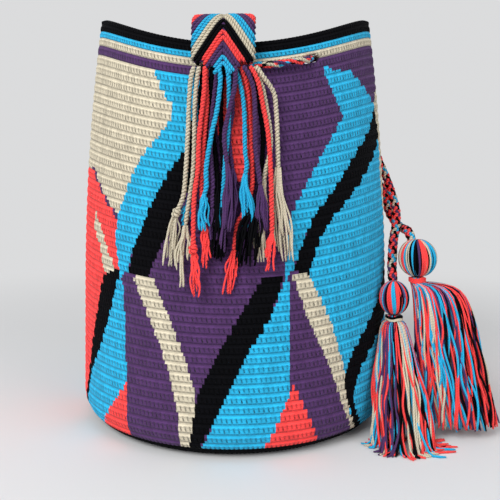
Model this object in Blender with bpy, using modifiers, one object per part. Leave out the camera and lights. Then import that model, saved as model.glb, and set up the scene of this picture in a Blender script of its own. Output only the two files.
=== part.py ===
"""Wayuu mochila: a crocheted cylinder bag with a plaited strap, a drawstring and two tassels.

The bag stands on z = 0 with its axis on Z and its front towards -Y. The strap is tucked
inside, and both of its fringed ends hang over the rim. All sizes are in metres, unless a
comment gives another unit.
"""

import math

import bpy
from mathutils import Vector

# Bag body
BAG_HEIGHT = 0.288          # at the two side corners of the rim
BAG_RADIUS = 0.112          # widest
MOUTH_RADIUS = 0.1005       # outside of the rim
TAPER_FOOT = 0.090          # below this height the wall is upright
TAPER_POWER = 2.1
BASE_CURVE = 0.020          # radius of the turn from wall to base
WALL = 0.004
ROW_RELIEF = 0.0008         # how far a crochet row stands out
WALL_ROWS = 40
CURVE_ROWS = 5
RIM_SAG = 0.036             # how far the rim hangs at the front and the back
SAG_FOOT = 0.120            # the sag fades out at this height
BODY_SEGMENTS = 36
INNER_RINGS = 8
INNER_CURVE_RINGS = 3

# Eyelets, placed by their angle in degrees from the front towards +X
EYELET_DROP = 0.017         # below the rim
EYELET_WIDTH = 0.0180
EYELET_HEIGHT = 0.0085
EYELETS = (97.0, 29.0, -8.0, -90.0, -125.0, -156.0, -204.0, -241.0)

# Drawstring
STRING_DIAMETER = 0.005
STRING_GAP = 0.0014         # to the faceted wall
CROSSING_RUN = 0.014        # length along the wall of one pass through an eyelet
STRING_KNOT_SPACING = 12.0  # degrees between the route's points on a plain stretch
STRING_SPACING = 0.0065
STRING_END_DROP = 0.016
STRING_TURN_ANGLE = 3.2     # degrees from the end of the last pass to where the end hangs

# Fit of pieces that meet
SEAT_GAP = 0.0003

# Tails and tassels
TAIL_DIAMETER = 0.0066
TAIL_SPACING = 0.009
TAIL_GAP = 0.0007           # to the drawstring's end, which meets it at a slight angle
HEAD_NEAR = Vector((0.1090, -0.0570, 0.0887))
HEAD_NEAR_RADIUS = 0.0098
HEAD_NEAR_HEIGHT = 0.0228
SKIRT_NEAR_END = Vector((0.1080, -0.0880, 0.0003))
SKIRT_NEAR_SPREAD = (0.0205, 0.0155)
HEAD_FAR = Vector((0.1268, -0.0500, 0.1150))
HEAD_FAR_RADIUS = 0.0130
HEAD_FAR_HEIGHT = 0.0260
SKIRT_FAR_END = Vector((0.1530, -0.0660, 0.0003))
SKIRT_FAR_SPREAD = (0.0250, 0.0165)
NECK_RADIUS = 0.0050
NECK_LENGTH = 0.0036
SHOULDER_NEAR = Vector((0.0000, 0.0000, -0.0060))   # middle of the shoulder from the neck's foot
SHOULDER_NEAR_REACH = (0.0102, 0.0095)
SHOULDER_FAR = Vector((0.0135, -0.0030, -0.0075))
SHOULDER_FAR_REACH = (0.0185, 0.0125)
SKIRT_SEGMENTS = 16
TIE_RADIUS = 0.0013         # of the wrapped thread's section

# Hand-chosen routes of the tails, from the drawstring's ends to the tassel heads
TAIL_NEAR_ROUTE = (
    (0.1115, 0.0240, 0.2050), (0.1143, 0.0200, 0.1880), (0.1200, 0.0140, 0.1708),
    (0.1213, 0.0060, 0.1620), (0.1224, -0.0040, 0.1501), (0.1213, -0.0130, 0.1416),
    (0.1187, -0.0210, 0.1331), (0.1153, -0.0290, 0.1263), (0.1125, -0.0380, 0.1171),
    (0.1102, -0.0460, 0.1081),
)
TAIL_FAR_ROUTE = (
    (0.1063, 0.0390, 0.2150), (0.1112, 0.0345, 0.1820), (0.1175, 0.0290, 0.1670),
    (0.1218, 0.0220, 0.1543), (0.1213, 0.0130, 0.1453), (0.1237, 0.0030, 0.1378),
    (0.1257, -0.0060, 0.1340), (0.1266, -0.0170, 0.1325), (0.1264, -0.0290, 0.1315),
)

# Strap
STRAP_WIDTH = 0.040
STRAP_THICKNESS = 0.005
STRAP_X = -0.005            # it lies a little to the left of the bag's axis
STRAP_END_HEIGHT = 0.2357
STRAP_GAP = 0.0008          # to the drawstring beneath it
STRAP_INSIDE_GAP = 0.0012   # to the faceted wall
FOLD_RISE = 0.0155          # strap's middle line above the rim at the top of its fold
FLAP_LENGTH = 0.115         # of the loose folds that lie on the base
FLAP_PITCH = 0.018
STRAP_SPACING = 0.011
STRAP_COLUMNS = 3

# Fringe cords
FRINGE_DIAMETER = 0.0026
FRINGE_SPACING = 0.0078
FRINGE_GAP = 0.0009         # to the strap's end, which the slanted cords leave
LAYER_PITCH = 0.0032
WALL_LAYER = 0.0027         # middle of the innermost layer of cords, out from the wall
LAYER_SETTLE = 0.0235       # drop within which the cords reach their layers
INNER_ROW = 0
OUTER_ROW = 1
BACK_FRINGE_LENGTH = 0.085
BACK_FRINGE_COUNT = 10
BACK_FRINGE_WAVE = 0.0006

# Colours of the yarns
CORAL = (0.94, 0.08, 0.06, 1.0)
BLUE = (0.01, 0.35, 0.68, 1.0)
CREAM = (0.75, 0.68, 0.55, 1.0)
PURPLE = (0.07, 0.03, 0.14, 1.0)
BLACK = (0.006, 0.006, 0.008, 1.0)

# Each front cord has its colour, its row in the strap's end, the layer it hangs in, counted
# outwards from the wall, and a hand-chosen route as (across, height) in millimetres
FRONT_FRINGE = (
    (CREAM, OUTER_ROW, 2, (
        (-22, 235), (-24, 228), (-25.5, 212), (-26, 195), (-27, 173), (-28.5, 158),
        (-33, 147), (-35, 133), (-35.5, 117))),
    (CREAM, OUTER_ROW, 2, (
        (-19, 235), (-21, 223), (-22, 206), (-22, 191), (-22.5, 173), (-24.5, 158),
        (-27, 140), (-28.5, 121), (-28.5, 105))),
    (BLUE, INNER_ROW, 1, (
        (-22, 235), (-21.5, 221), (-21.5, 209), (-21, 191), (-23, 168), (-26, 153),
        (-29, 141))),
    (BLACK, INNER_ROW, 1, (
        (-18, 235), (-17.5, 226), (-18, 215), (-18, 206), (-17.5, 191), (-18, 174),
        (-17, 156), (-16.5, 141))),
    (CORAL, OUTER_ROW, 3, (
        (-15.5, 235), (-16, 221), (-18, 203), (-19, 191), (-19.5, 174), (-21.5, 158),
        (-22, 137), (-22, 121), (-21.5, 100))),
    (CORAL, INNER_ROW, 2, (
        (-15, 235), (-15, 225), (-14.5, 215), (-15.5, 200), (-16, 191), (-17.5, 167),
        (-16.5, 150), (-15, 136), (-14.5, 116))),
    (BLACK, INNER_ROW, 1, (
        (-11.5, 235), (-12, 224), (-12, 212), (-11, 195), (-9, 177), (-8.5, 162),
        (-8.5, 141), (-10, 122))),
    (PURPLE, INNER_ROW, 2, (
        (-8.5, 235), (-9.5, 224), (-11.5, 206), (-12.5, 190), (-12, 177), (-11, 167),
        (-11, 150), (-11.5, 133))),
    (BLACK, INNER_ROW, 1, (
        (-5, 235), (-6, 224), (-6.5, 212), (-6, 191), (-5, 174), (-5, 150), (-6, 120))),
    (BLUE, OUTER_ROW, 3, (
        (-7.5, 235), (-6.5, 226), (-8.5, 209), (-11.5, 195), (-14.5, 176), (-14.5, 164),
        (-16, 156), (-15, 138))),
    (BLUE, OUTER_ROW, 2, (
        (-2.5, 235), (-1.5, 226), (-1.5, 214), (-2, 197), (-3.5, 180), (-4.5, 165),
        (-5.5, 150), (-6, 140))),
    (PURPLE, OUTER_ROW, 3, (
        (2.5, 235), (2, 223), (-1, 210), (-4, 195), (-3.5, 185), (-2, 174), (-1.5, 164),
        (-2, 153), (-3.5, 137), (-4, 126))),
    (PURPLE, INNER_ROW, 1, (
        (-1.5, 235), (0, 224), (0.5, 210), (-1.5, 195), (-1, 185), (0.5, 174), (0.5, 164),
        (0, 153), (-1.5, 139))),
    (BLUE, INNER_ROW, 2, (
        (2, 235), (5.5, 223), (7.5, 209), (8, 186), (9, 176), (7.5, 167), (9, 153),
        (9.5, 140))),
    (CORAL, INNER_ROW, 1, (
        (5.5, 235), (9.5, 223), (10.5, 206), (11, 192), (12, 177), (12, 163), (7.5, 149),
        (3.5, 142), (1.5, 126), (-2, 101))),
    (PURPLE, OUTER_ROW, 3, (
        (7, 235), (11, 228), (13.5, 217), (14, 189), (15.5, 176), (17, 164), (17.5, 150),
        (18, 137))),
    (BLACK, INNER_ROW, 1, (
        (9.5, 235), (14.5, 224), (17, 209), (18.5, 195), (18, 180), (16, 162), (11.5, 141),
        (8.5, 118))),
    (CORAL, OUTER_ROW, 3, (
        (11, 235), (15.5, 226), (18.5, 212), (21.5, 195), (23, 173), (23.5, 150),
        (23.5, 137), (21.5, 115))),
    (CREAM, INNER_ROW, 2, (
        (13, 235), (17.5, 226), (20.5, 212), (23, 195), (22.5, 183), (20, 173), (18, 156),
        (16, 136), (17.5, 120))),
    (CREAM, OUTER_ROW, 2, (
        (14.5, 235), (18.5, 229), (25, 220), (26.5, 209), (27, 198), (27.5, 176),
        (27.5, 164), (29, 150), (31, 133), (32, 120))),
)
BACK_FRINGE_COLOURS = (CREAM, BLACK, CORAL, PURPLE, BLUE)
YARN_ROUGHNESS = 0.9

MILLIMETRE = 0.001

# The strap stands off the wall by the drawstring that passes beneath it
STRAP_STANDOFF = ROW_RELIEF + STRING_GAP + STRING_DIAMETER + STRAP_GAP


def smooth(amount):
    """Ease from 0 to 1."""
    amount = min(1.0, max(0.0, amount))
    return amount * amount * (3.0 - 2.0 * amount)


def wall_radius(height):
    """Outer radius of the bag's wall at a height, before the rim sags."""
    if height < BASE_CURVE:
        return BAG_RADIUS - BASE_CURVE + math.sqrt(BASE_CURVE ** 2 - (BASE_CURVE - height) ** 2)
    taper = max(0.0, (height - TAPER_FOOT) / (BAG_HEIGHT - TAPER_FOOT))
    return BAG_RADIUS - (BAG_RADIUS - MOUTH_RADIUS) * taper ** TAPER_POWER


def sag(height, angle):
    """How far the wall hangs down at a height and an angle."""
    return RIM_SAG * math.cos(angle) ** 2 * smooth((height - SAG_FOOT) / (BAG_HEIGHT - SAG_FOOT))


def unsagged_height(height, angle):
    """The height on the wall before the rim sags, for a height after it."""
    unsagged = height
    for _ in range(12):
        unsagged = height + sag(unsagged, angle)
    return unsagged


def wall_point(angle, height, offset):
    """A point off the outer wall, from its angle and its height before the rim sags."""
    radius = wall_radius(height) + offset
    return Vector((
        radius * math.sin(angle),
        -radius * math.cos(angle),
        height - sag(height, angle),
    ))


def front_point(across, height, offset):
    """A point off the front wall, from its final x and z."""
    angle = math.asin(across / (BAG_RADIUS + offset))
    unsagged = unsagged_height(height, angle)
    radius = wall_radius(unsagged) + offset
    return Vector((across, -math.sqrt(radius ** 2 - across ** 2), height))


def smooth_route(points, spacing):
    """Points at even spacing on a smooth curve through the given points."""
    ends = [2 * points[0] - points[1]], [2 * points[-1] - points[-2]]
    guides = ends[0] + list(points) + ends[1]
    fine = []
    for before, start, end, after in zip(guides, guides[1:], guides[2:], guides[3:]):
        for step in range(16):
            t = step / 16
            fine.append(0.5 * (
                2 * start
                + (end - before) * t
                + (2 * before - 5 * start + 4 * end - after) * t ** 2
                + (3 * start - before - 3 * end + after) * t ** 3
            ))
    fine.append(points[-1])
    lengths = [(b - a).length for a, b in zip(fine, fine[1:])]
    count = max(2, round(sum(lengths) / spacing))
    stride = sum(lengths) / count
    route = [fine[0]]
    travelled = 0.0
    for start, end, length in zip(fine, fine[1:], lengths):
        while len(route) < count and travelled + length >= len(route) * stride:
            route.append(start.lerp(end, (len(route) * stride - travelled) / length))
        travelled += length
    route.append(fine[-1])
    return route


def yarn_material(name, colour):
    """A matt yarn of one colour."""
    material = bpy.data.materials.new(name + " yarn")
    material.use_nodes = True
    shader = material.node_tree.nodes["Principled BSDF"]
    shader.inputs["Base Color"].default_value = colour
    shader.inputs["Roughness"].default_value = YARN_ROUGHNESS
    shader.inputs["Metallic"].default_value = 0.0
    return material


def add_object(name, data, colour, collection):
    """Link a new object, with a material of its own."""
    piece = bpy.data.objects.new(name, data)
    collection.objects.link(piece)
    piece.data.materials.append(yarn_material(name, colour))
    return piece


def apply_modifiers(piece):
    """Put the evaluated mesh in place of the object's own."""
    bpy.context.view_layer.update()
    evaluated = piece.evaluated_get(bpy.context.evaluated_depsgraph_get())
    mesh = bpy.data.meshes.new_from_object(evaluated)
    piece.modifiers.clear()
    piece.data = mesh


def adopt_primitive(name, colour, collection):
    """Name the primitive that was just added, and move it to the bag's collection."""
    piece = bpy.context.object
    piece.name = name
    for owner in list(piece.users_collection):
        owner.objects.unlink(piece)
    collection.objects.link(piece)
    piece.data.materials.append(yarn_material(name, colour))
    return piece


def add_tube(name, points, diameter, resolution, colour, collection):
    """A round cord along a route."""
    curve = bpy.data.curves.new(name, "CURVE")
    curve.dimensions = "3D"
    curve.bevel_depth = diameter / 2
    curve.bevel_resolution = resolution
    curve.use_fill_caps = True
    spline = curve.splines.new("POLY")
    spline.points.add(len(points) - 1)
    for target, point in zip(spline.points, points):
        target.co = (*point, 1.0)
    spline.use_smooth = True
    return add_object(name, curve, colour, collection)


def add_turned(name, profile, segments, colour, collection):
    """A solid turned about Z from its (radius, height) profile."""
    mesh = bpy.data.meshes.new(name)
    mesh.from_pydata(
        [(radius, 0.0, height) for radius, height in profile],
        [(i, i + 1) for i in range(len(profile) - 1)],
        [],
    )
    piece = add_object(name, mesh, colour, collection)
    screw = piece.modifiers.new("turning", "SCREW")
    screw.axis = "Z"
    screw.steps = segments
    screw.render_steps = segments
    screw.use_merge_vertices = True
    screw.merge_threshold = 0.00001
    apply_modifiers(piece)
    return piece


def body_profile():
    """Section of the bag from the inside of its base, over the rim, to the underside."""
    flat_radius = BAG_RADIUS - BASE_CURVE
    inner_curve = BASE_CURVE - WALL
    points = [(0.0, WALL), (flat_radius, WALL)]
    for ring in range(1, INNER_CURVE_RINGS + 1):
        turn = math.pi / 2 * ring / INNER_CURVE_RINGS
        points.append((
            flat_radius + inner_curve * math.sin(turn),
            BASE_CURVE - inner_curve * math.cos(turn),
        ))
    top = BAG_HEIGHT - WALL / 2
    for ring in range(1, INNER_RINGS + 1):
        height = BASE_CURVE + (top - BASE_CURVE) * ring / INNER_RINGS
        points.append((wall_radius(height) - WALL, height))
    points.append((MOUTH_RADIUS - WALL / 2, BAG_HEIGHT))
    row_height = (BAG_HEIGHT - BASE_CURVE) / WALL_ROWS
    for row in range(WALL_ROWS):
        crest = BAG_HEIGHT - row_height * (row + 0.5)
        valley = BAG_HEIGHT - row_height * (row + 1)
        points.append((wall_radius(crest) + ROW_RELIEF, crest))
        points.append((wall_radius(valley), valley))
    for row in range(CURVE_ROWS):
        crest = math.pi / 2 * (row + 0.5) / CURVE_ROWS
        points.append((
            flat_radius + (BASE_CURVE + ROW_RELIEF) * math.cos(crest),
            BASE_CURVE - BASE_CURVE * math.sin(crest),
        ))
        valley = math.pi / 2 * (row + 1) / CURVE_ROWS
        points.append((
            flat_radius + BASE_CURVE * math.cos(valley),
            BASE_CURVE - BASE_CURVE * math.sin(valley),
        ))
    points.append((0.0, 0.0))
    return points


def build_body(collection, cutters):
    """The crocheted bag: a turned wall with ridged rows, its rim sagging front and back."""
    body = add_turned("bag_body", body_profile(), BODY_SEGMENTS, PURPLE, collection)
    for vertex in body.data.vertices:
        angle = math.atan2(vertex.co.x, -vertex.co.y)
        vertex.co.z -= sag(vertex.co.z, angle)
    for number, degrees in enumerate(EYELETS, 1):
        add_eyelet_cutter(number, math.radians(degrees), cutters)
    cut = body.modifiers.new("eyelets", "BOOLEAN")
    cut.operation = "DIFFERENCE"
    cut.operand_type = "COLLECTION"
    cut.collection = cutters
    cut.solver = "EXACT"
    return body


def add_eyelet_cutter(number, angle, cutters):
    """An oval plug through the wall, where a few stitches are skipped."""
    centre = wall_point(angle, BAG_HEIGHT - EYELET_DROP, -WALL / 2)
    bpy.ops.mesh.primitive_cylinder_add(vertices=12, radius=0.5, depth=1.0)
    plug = bpy.context.object
    plug.name = f"eyelet cutter {number}"
    for vertex in plug.data.vertices:
        vertex.co = (
            vertex.co.x * EYELET_WIDTH,
            vertex.co.y * EYELET_HEIGHT,
            vertex.co.z * WALL * 4,
        )
    plug.rotation_euler = (math.pi / 2, 0.0, angle)
    plug.location = centre
    plug.hide_render = True
    plug.display_type = "WIRE"
    for owner in list(plug.users_collection):
        owner.objects.unlink(plug)
    cutters.objects.link(plug)


def string_point(degrees, side):
    """A point on the drawstring's route, outside the wall, inside it or in an eyelet."""
    reach = STRING_GAP + STRING_DIAMETER / 2
    offsets = {1: ROW_RELIEF + reach, 0: (ROW_RELIEF - WALL) / 2, -1: -WALL - reach}
    return wall_point(math.radians(degrees), BAG_HEIGHT - EYELET_DROP, offsets[side])


def hanging_point(degrees, drop):
    """A point on a tail that hangs down the wall, below the eyelets' level."""
    offset = ROW_RELIEF + STRING_GAP + TAIL_DIAMETER / 2
    return wall_point(math.radians(degrees), BAG_HEIGHT - EYELET_DROP - drop, offset)


def string_end(degrees, turn):
    """The end of the drawstring, which turns down outside the wall after an eyelet."""
    return [
        string_point(degrees + turn * STRING_TURN_ANGLE / 3, 1),
        hanging_point(degrees + turn * STRING_TURN_ANGLE, STRING_DIAMETER),
        hanging_point(degrees + turn * STRING_TURN_ANGLE, STRING_END_DROP),
    ]


def crossing_angle():
    """Half the angle, in degrees, that the drawstring takes to pass through an eyelet."""
    return math.degrees(CROSSING_RUN / 2 / MOUTH_RADIUS)


def string_route():
    """The drawstring's points, in and out through all the eyelets round the bag."""
    passing = crossing_angle()
    knots = []
    side = 1
    for number, eyelet in enumerate(EYELETS):
        knots += [(eyelet + passing, side), (eyelet, 0), (eyelet - passing, -side)]
        side = -side
        if number + 1 == len(EYELETS):
            continue
        start = eyelet - 1.7 * passing
        end = EYELETS[number + 1] + 1.7 * passing
        knots.append((start, side))
        steps = max(1, round((start - end) / STRING_KNOT_SPACING))
        knots += [(start + (end - start) * step / steps, side) for step in range(1, steps + 1)]
    middle = [string_point(degrees, place) for degrees, place in knots]
    first = string_end(EYELETS[0] + passing, 1)
    last = string_end(EYELETS[-1] - passing, -1)
    return smooth_route(first[::-1] + middle + last, STRING_SPACING)


def build_drawstring(collection):
    """The threaded stretch of the drawstring."""
    add_tube("drawstring", string_route(), STRING_DIAMETER, 2, CORAL, collection)


def build_tail(name, degrees, route, head, radius, height, collection):
    """A tail, from the drawstring's end to its tassel's head, which it meets square on."""
    points = [
        hanging_point(degrees, STRING_END_DROP + TAIL_GAP),
        hanging_point(degrees, STRING_END_DROP + 2 * TAIL_DIAMETER),
    ]
    points += [Vector(point) for point in route]
    ray = (points[-1] - head).normalized()
    reach = 1 / math.sqrt((ray.x ** 2 + ray.y ** 2) / radius ** 2 + (2 * ray.z / height) ** 2)
    points.append(head + ray * (reach + SEAT_GAP))
    add_tube(name, smooth_route(points, TAIL_SPACING), TAIL_DIAMETER, 2, PURPLE, collection)


def build_tassel(suffix, head, radius, height, shoulder, shoulder_reach, skirt_end, spread,
                 collection):
    """A tassel: a ball of threads, the wrap round its neck and the skirt below."""
    bpy.ops.mesh.primitive_uv_sphere_add(segments=14, ring_count=8, radius=1.0)
    ball = adopt_primitive("tassel_head_" + suffix, BLUE, collection)
    for vertex in ball.data.vertices:
        vertex.co = head + Vector((
            vertex.co.x * radius,
            vertex.co.y * radius,
            vertex.co.z * height / 2,
        ))
    ball.data.shade_smooth()

    neck_top = head + Vector((0.0, 0.0, -height / 2 - SEAT_GAP))
    bpy.ops.mesh.primitive_torus_add(
        major_segments=16,
        minor_segments=6,
        major_radius=NECK_RADIUS + SEAT_GAP + TIE_RADIUS,
        minor_radius=TIE_RADIUS,
        location=neck_top + Vector((0.0, 0.0, -NECK_LENGTH / 2)),
    )
    adopt_primitive("tassel_tie_" + suffix, CREAM, collection)
    build_skirt("tassel_skirt_" + suffix, neck_top, shoulder, shoulder_reach, skirt_end, spread,
                collection)


def build_skirt(name, neck_top, shoulder_offset, shoulder_reach, end, spread, collection):
    """The hanging threads: a neck, a shoulder and an oval that widens towards its end."""
    neck_foot = neck_top + Vector((0.0, 0.0, -NECK_LENGTH))
    shoulder = neck_foot + shoulder_offset
    middle = shoulder.lerp(end, 0.5)
    middle_reach = [
        start + (side - start) * 0.62 for start, side in zip(shoulder_reach, spread)
    ]
    rings = (
        (end, spread[0], spread[1]),
        (middle, middle_reach[0], middle_reach[1]),
        (shoulder, shoulder_reach[0], shoulder_reach[1]),
        (neck_foot, NECK_RADIUS, NECK_RADIUS),
        (neck_top, NECK_RADIUS, NECK_RADIUS),
    )
    outline = [(0.0, 0), (1.0, 0)] + [(1.0, level) for level in range(1, len(rings))]
    outline.append((0.0, len(rings) - 1))
    skirt = add_turned(name, outline[::-1], SKIRT_SEGMENTS, CORAL, collection)
    for vertex in skirt.data.vertices:
        centre, reach_x, reach_y = rings[round(vertex.co.z)]
        vertex.co = centre + Vector((vertex.co.x * reach_x, vertex.co.y * reach_y, 0.0))


def strap_side(y_sign):
    """Half of the strap's middle line, from its fringed end to the base's edge, as (y, z)."""
    outside = STRAP_STANDOFF + STRAP_THICKNESS / 2
    inside = -WALL - STRAP_STANDOFF - STRAP_THICKNESS / 2
    resting = -WALL - STRAP_INSIDE_GAP - STRAP_THICKNESS / 2
    end_height = unsagged_height(STRAP_END_HEIGHT, 0.0)
    over_rim = BAG_HEIGHT - EYELET_DROP / 2
    line = [
        wall_point(0.0, end_height, outside),
        wall_point(0.0, (end_height + over_rim) / 2, outside),
        wall_point(0.0, over_rim, outside),
    ]
    rim = wall_point(0.0, BAG_HEIGHT, -WALL / 2)
    fold = (outside - inside) / 2
    for turn in (10.0, 40.0, 65.0, 90.0, 115.0, 140.0, 170.0):
        angle = math.radians(turn)
        line.append(rim + Vector((
            0.0,
            -fold * math.cos(angle),
            FOLD_RISE * math.sin(angle),
        )))
    line.append(wall_point(0.0, over_rim, inside))
    drop = BAG_HEIGHT - 3 * EYELET_DROP
    line.append(wall_point(0.0, (over_rim + drop) / 2, inside))
    steps = 5
    for step in range(steps):
        height = drop + (2 * BASE_CURVE - drop) * step / (steps - 1)
        line.append(wall_point(0.0, height, resting))
    return [(point.y * y_sign, point.z) for point in line]


def strap_line():
    """The strap's middle line from its front end to its back end."""
    rest = WALL + STRAP_INSIDE_GAP + STRAP_THICKNESS / 2
    edge = BAG_RADIUS - BASE_CURVE
    flap_end = edge - 0.014
    flap_start = flap_end - FLAP_LENGTH
    bend = FLAP_PITCH / 2
    line = strap_side(1.0)
    line.append((-edge - 0.0075, rest + 0.0095))
    line.append((-edge + 0.004, rest))
    line.append((-edge / 2, rest))
    line.append((0.0, rest))
    line.append((flap_end - bend, rest))
    line += [
        (flap_end - bend + bend * math.sin(math.radians(turn)),
         rest + bend - bend * math.cos(math.radians(turn)))
        for turn in (45.0, 90.0, 135.0, 180.0)
    ]
    line.append(((flap_start + flap_end) / 2, rest + FLAP_PITCH))
    line += [
        (flap_start + bend - bend * math.sin(math.radians(turn)),
         rest + FLAP_PITCH + bend - bend * math.cos(math.radians(turn)))
        for turn in (0.0, 45.0, 90.0, 135.0, 180.0)
    ]
    line.append(((flap_start + flap_end) / 2, rest + 2 * FLAP_PITCH))
    line.append((edge - 0.006, rest + 2 * FLAP_PITCH + 0.001))
    line.append((edge + 0.0110, rest + 2 * FLAP_PITCH + 0.018))
    back = strap_side(-1.0)[::-1]
    return line + [point for point in back if point[1] > rest + 2 * FLAP_PITCH + 0.020]


def build_strap(collection):
    """The plaited strap, a thick ribbon that follows the wall's round."""
    guides = [Vector((0.0, y, z)) for y, z in strap_line()]
    route = smooth_route(guides, STRAP_SPACING)
    bpy.ops.mesh.primitive_grid_add(
        x_subdivisions=STRAP_COLUMNS, y_subdivisions=len(route) - 1, size=1.0
    )
    strap = adopt_primitive("strap", CORAL, collection)
    for vertex in strap.data.vertices:
        row = round((vertex.co.y + 0.5) * (len(route) - 1))
        x = STRAP_X + vertex.co.x * STRAP_WIDTH
        point = route[row]
        hug = smooth((abs(point.y) - 0.045) / 0.035)
        rounded = math.copysign(math.sqrt(max(0.0, point.y ** 2 - x ** 2)), point.y)
        vertex.co = (x, point.y + (rounded - point.y) * hug, point.z)
    thick = strap.modifiers.new("plait thickness", "SOLIDIFY")
    thick.thickness = STRAP_THICKNESS
    thick.offset = 0.0
    thick.use_even_offset = True
    return strap


def fringe_route(row, layer, route):
    """A front cord's points, from the strap's end down to its layer on the wall."""
    start = STRAP_STANDOFF + WALL_LAYER / 2 + row * LAYER_PITCH
    hang = WALL_LAYER + (layer - 1) * LAYER_PITCH
    top = STRAP_END_HEIGHT - FRINGE_GAP
    points = []
    for number, (across, height) in enumerate(route):
        z = top if number == 0 else height * MILLIMETRE
        settled = smooth((top - z) / LAYER_SETTLE)
        points.append(front_point(across * MILLIMETRE, z, start + (hang - start) * settled))
    return smooth_route(points, FRINGE_SPACING)


def build_fringes(collection):
    """The twisted cords below both ends of the strap."""
    for number, (colour, row, layer, route) in enumerate(FRONT_FRINGE, 1):
        points = fringe_route(row, layer, route)
        name = f"fringe_front_{number:02d}"
        add_tube(name, points, FRINGE_DIAMETER, 2, colour, collection)
    pitch = (STRAP_WIDTH - FRINGE_DIAMETER) / (BACK_FRINGE_COUNT - 1)
    start = STRAP_STANDOFF + STRAP_THICKNESS / 2
    for number in range(BACK_FRINGE_COUNT):
        across = STRAP_X - STRAP_WIDTH / 2 + FRINGE_DIAMETER / 2 + pitch * number
        sway = BACK_FRINGE_WAVE * math.sin(number * 2.4)
        points = []
        for part in (0.0, 0.15, 0.4, 0.7, 1.0):
            z = STRAP_END_HEIGHT - FRINGE_GAP - BACK_FRINGE_LENGTH * part
            settled = smooth(part * BACK_FRINGE_LENGTH / LAYER_SETTLE)
            offset = start + (WALL_LAYER - start) * settled
            point = front_point(across + sway * part, z, offset)
            points.append(Vector((point.x, -point.y, point.z)))
        colour = BACK_FRINGE_COLOURS[number % len(BACK_FRINGE_COLOURS)]
        name = f"fringe_back_{number + 1:02d}"
        add_tube(name, smooth_route(points, FRINGE_SPACING), FRINGE_DIAMETER, 2, colour, collection)


def new_collection(name):
    """A collection in the scene."""
    collection = bpy.data.collections.new(name)
    bpy.context.scene.collection.children.link(collection)
    return collection


def main():
    """Build the mochila."""
    for item in list(bpy.data.objects):
        bpy.data.objects.remove(item, do_unlink=True)
    collection = new_collection("wayuu mochila")
    cutters = new_collection("eyelet cutters")
    build_body(collection, cutters)
    build_strap(collection)
    build_drawstring(collection)
    turn = crossing_angle() + STRING_TURN_ANGLE
    build_tail("drawstring_tail_near", EYELETS[0] + turn, TAIL_NEAR_ROUTE, HEAD_NEAR,
               HEAD_NEAR_RADIUS, HEAD_NEAR_HEIGHT, collection)
    build_tail("drawstring_tail_far", EYELETS[-1] - turn, TAIL_FAR_ROUTE, HEAD_FAR,
               HEAD_FAR_RADIUS, HEAD_FAR_HEIGHT, collection)
    build_tassel("near", HEAD_NEAR, HEAD_NEAR_RADIUS, HEAD_NEAR_HEIGHT, SHOULDER_NEAR,
                 SHOULDER_NEAR_REACH, SKIRT_NEAR_END, SKIRT_NEAR_SPREAD, collection)
    build_tassel("far", HEAD_FAR, HEAD_FAR_RADIUS, HEAD_FAR_HEIGHT, SHOULDER_FAR,
                 SHOULDER_FAR_REACH, SKIRT_FAR_END, SKIRT_FAR_SPREAD, collection)
    build_fringes(collection)


main()
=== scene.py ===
"""Wayuu mochila: the looks of the crocheted bag, its plaited strap, cords and tassels.

Sizes are in metres and repeat those of the solids. Angles round the bag are counted from its
front, towards +X. The wall's pattern is counted in stitches from the front and in rows down
from the rim.
"""

import math
import random
from types import SimpleNamespace

import bmesh
import bpy
import numpy as np
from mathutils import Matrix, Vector


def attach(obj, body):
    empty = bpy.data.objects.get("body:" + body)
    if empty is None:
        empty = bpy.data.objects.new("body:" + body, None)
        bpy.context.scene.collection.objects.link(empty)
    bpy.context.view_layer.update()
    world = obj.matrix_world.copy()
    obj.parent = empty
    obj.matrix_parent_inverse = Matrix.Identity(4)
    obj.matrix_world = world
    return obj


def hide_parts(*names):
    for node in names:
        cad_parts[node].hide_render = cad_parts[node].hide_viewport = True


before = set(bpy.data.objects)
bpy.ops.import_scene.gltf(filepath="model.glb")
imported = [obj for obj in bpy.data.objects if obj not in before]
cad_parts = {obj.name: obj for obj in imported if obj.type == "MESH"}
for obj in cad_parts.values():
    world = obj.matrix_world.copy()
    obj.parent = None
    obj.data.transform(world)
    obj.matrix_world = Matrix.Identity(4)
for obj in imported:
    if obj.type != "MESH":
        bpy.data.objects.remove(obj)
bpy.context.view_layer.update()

# Yarns, in the order of every piece's materials
CORAL, BLUE, CREAM, PURPLE, BLACK = range(5)
YARN_NAMES = ("coral", "light blue", "cream", "purple", "black")
YARN_COLOURS = (
    (0.970, 0.062, 0.060), (0.018, 0.415, 0.705), (0.610, 0.545, 0.410),
    (0.073, 0.028, 0.111), (0.0020, 0.0020, 0.0030),
)
DARK_YARN = 0.02            # below this a yarn has no sheen

# Bag body
BAG_HEIGHT = 0.288
BAG_RADIUS = 0.112
MOUTH_RADIUS = 0.1005
TAPER_FOOT = 0.090
TAPER_POWER = 2.1
BASE_CURVE = 0.020
WALL = 0.004
ROW_RELIEF = 0.0008
WALL_ROWS = 40
CURVE_ROWS = 5
SIDE_ROWS = WALL_ROWS + CURVE_ROWS
BASE_ROUNDS = 13
RIM_SAG = 0.036
SAG_FOOT = 0.120
SAG_STEPS = 14              # of the search for a height before the sag
STITCHES = 240
EDGE_SLANT = 0.50           # 0 would step a colour's edge once a row, 1 would make it straight
HALF_ROW = 0.5              # the rim's own edge is half a row
RIM_TIGHTENING = 0.8        # rows of height that the first rows lose, because they are tighter
TIGHT_ROWS = 3.5
PATTERN_TOP = 4.1           # the pattern's first row, above which it runs straight up
RIM_BANDS = (BLACK, BLUE, CREAM, PURPLE)
BLACK_FOOT_ROWS = 3         # the last rows of the curve into the base
BASE_YARNS = (BLUE, BLUE, BLACK, PURPLE, PURPLE, PURPLE, CREAM, CREAM, CORAL, CORAL, BLUE)
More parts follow.
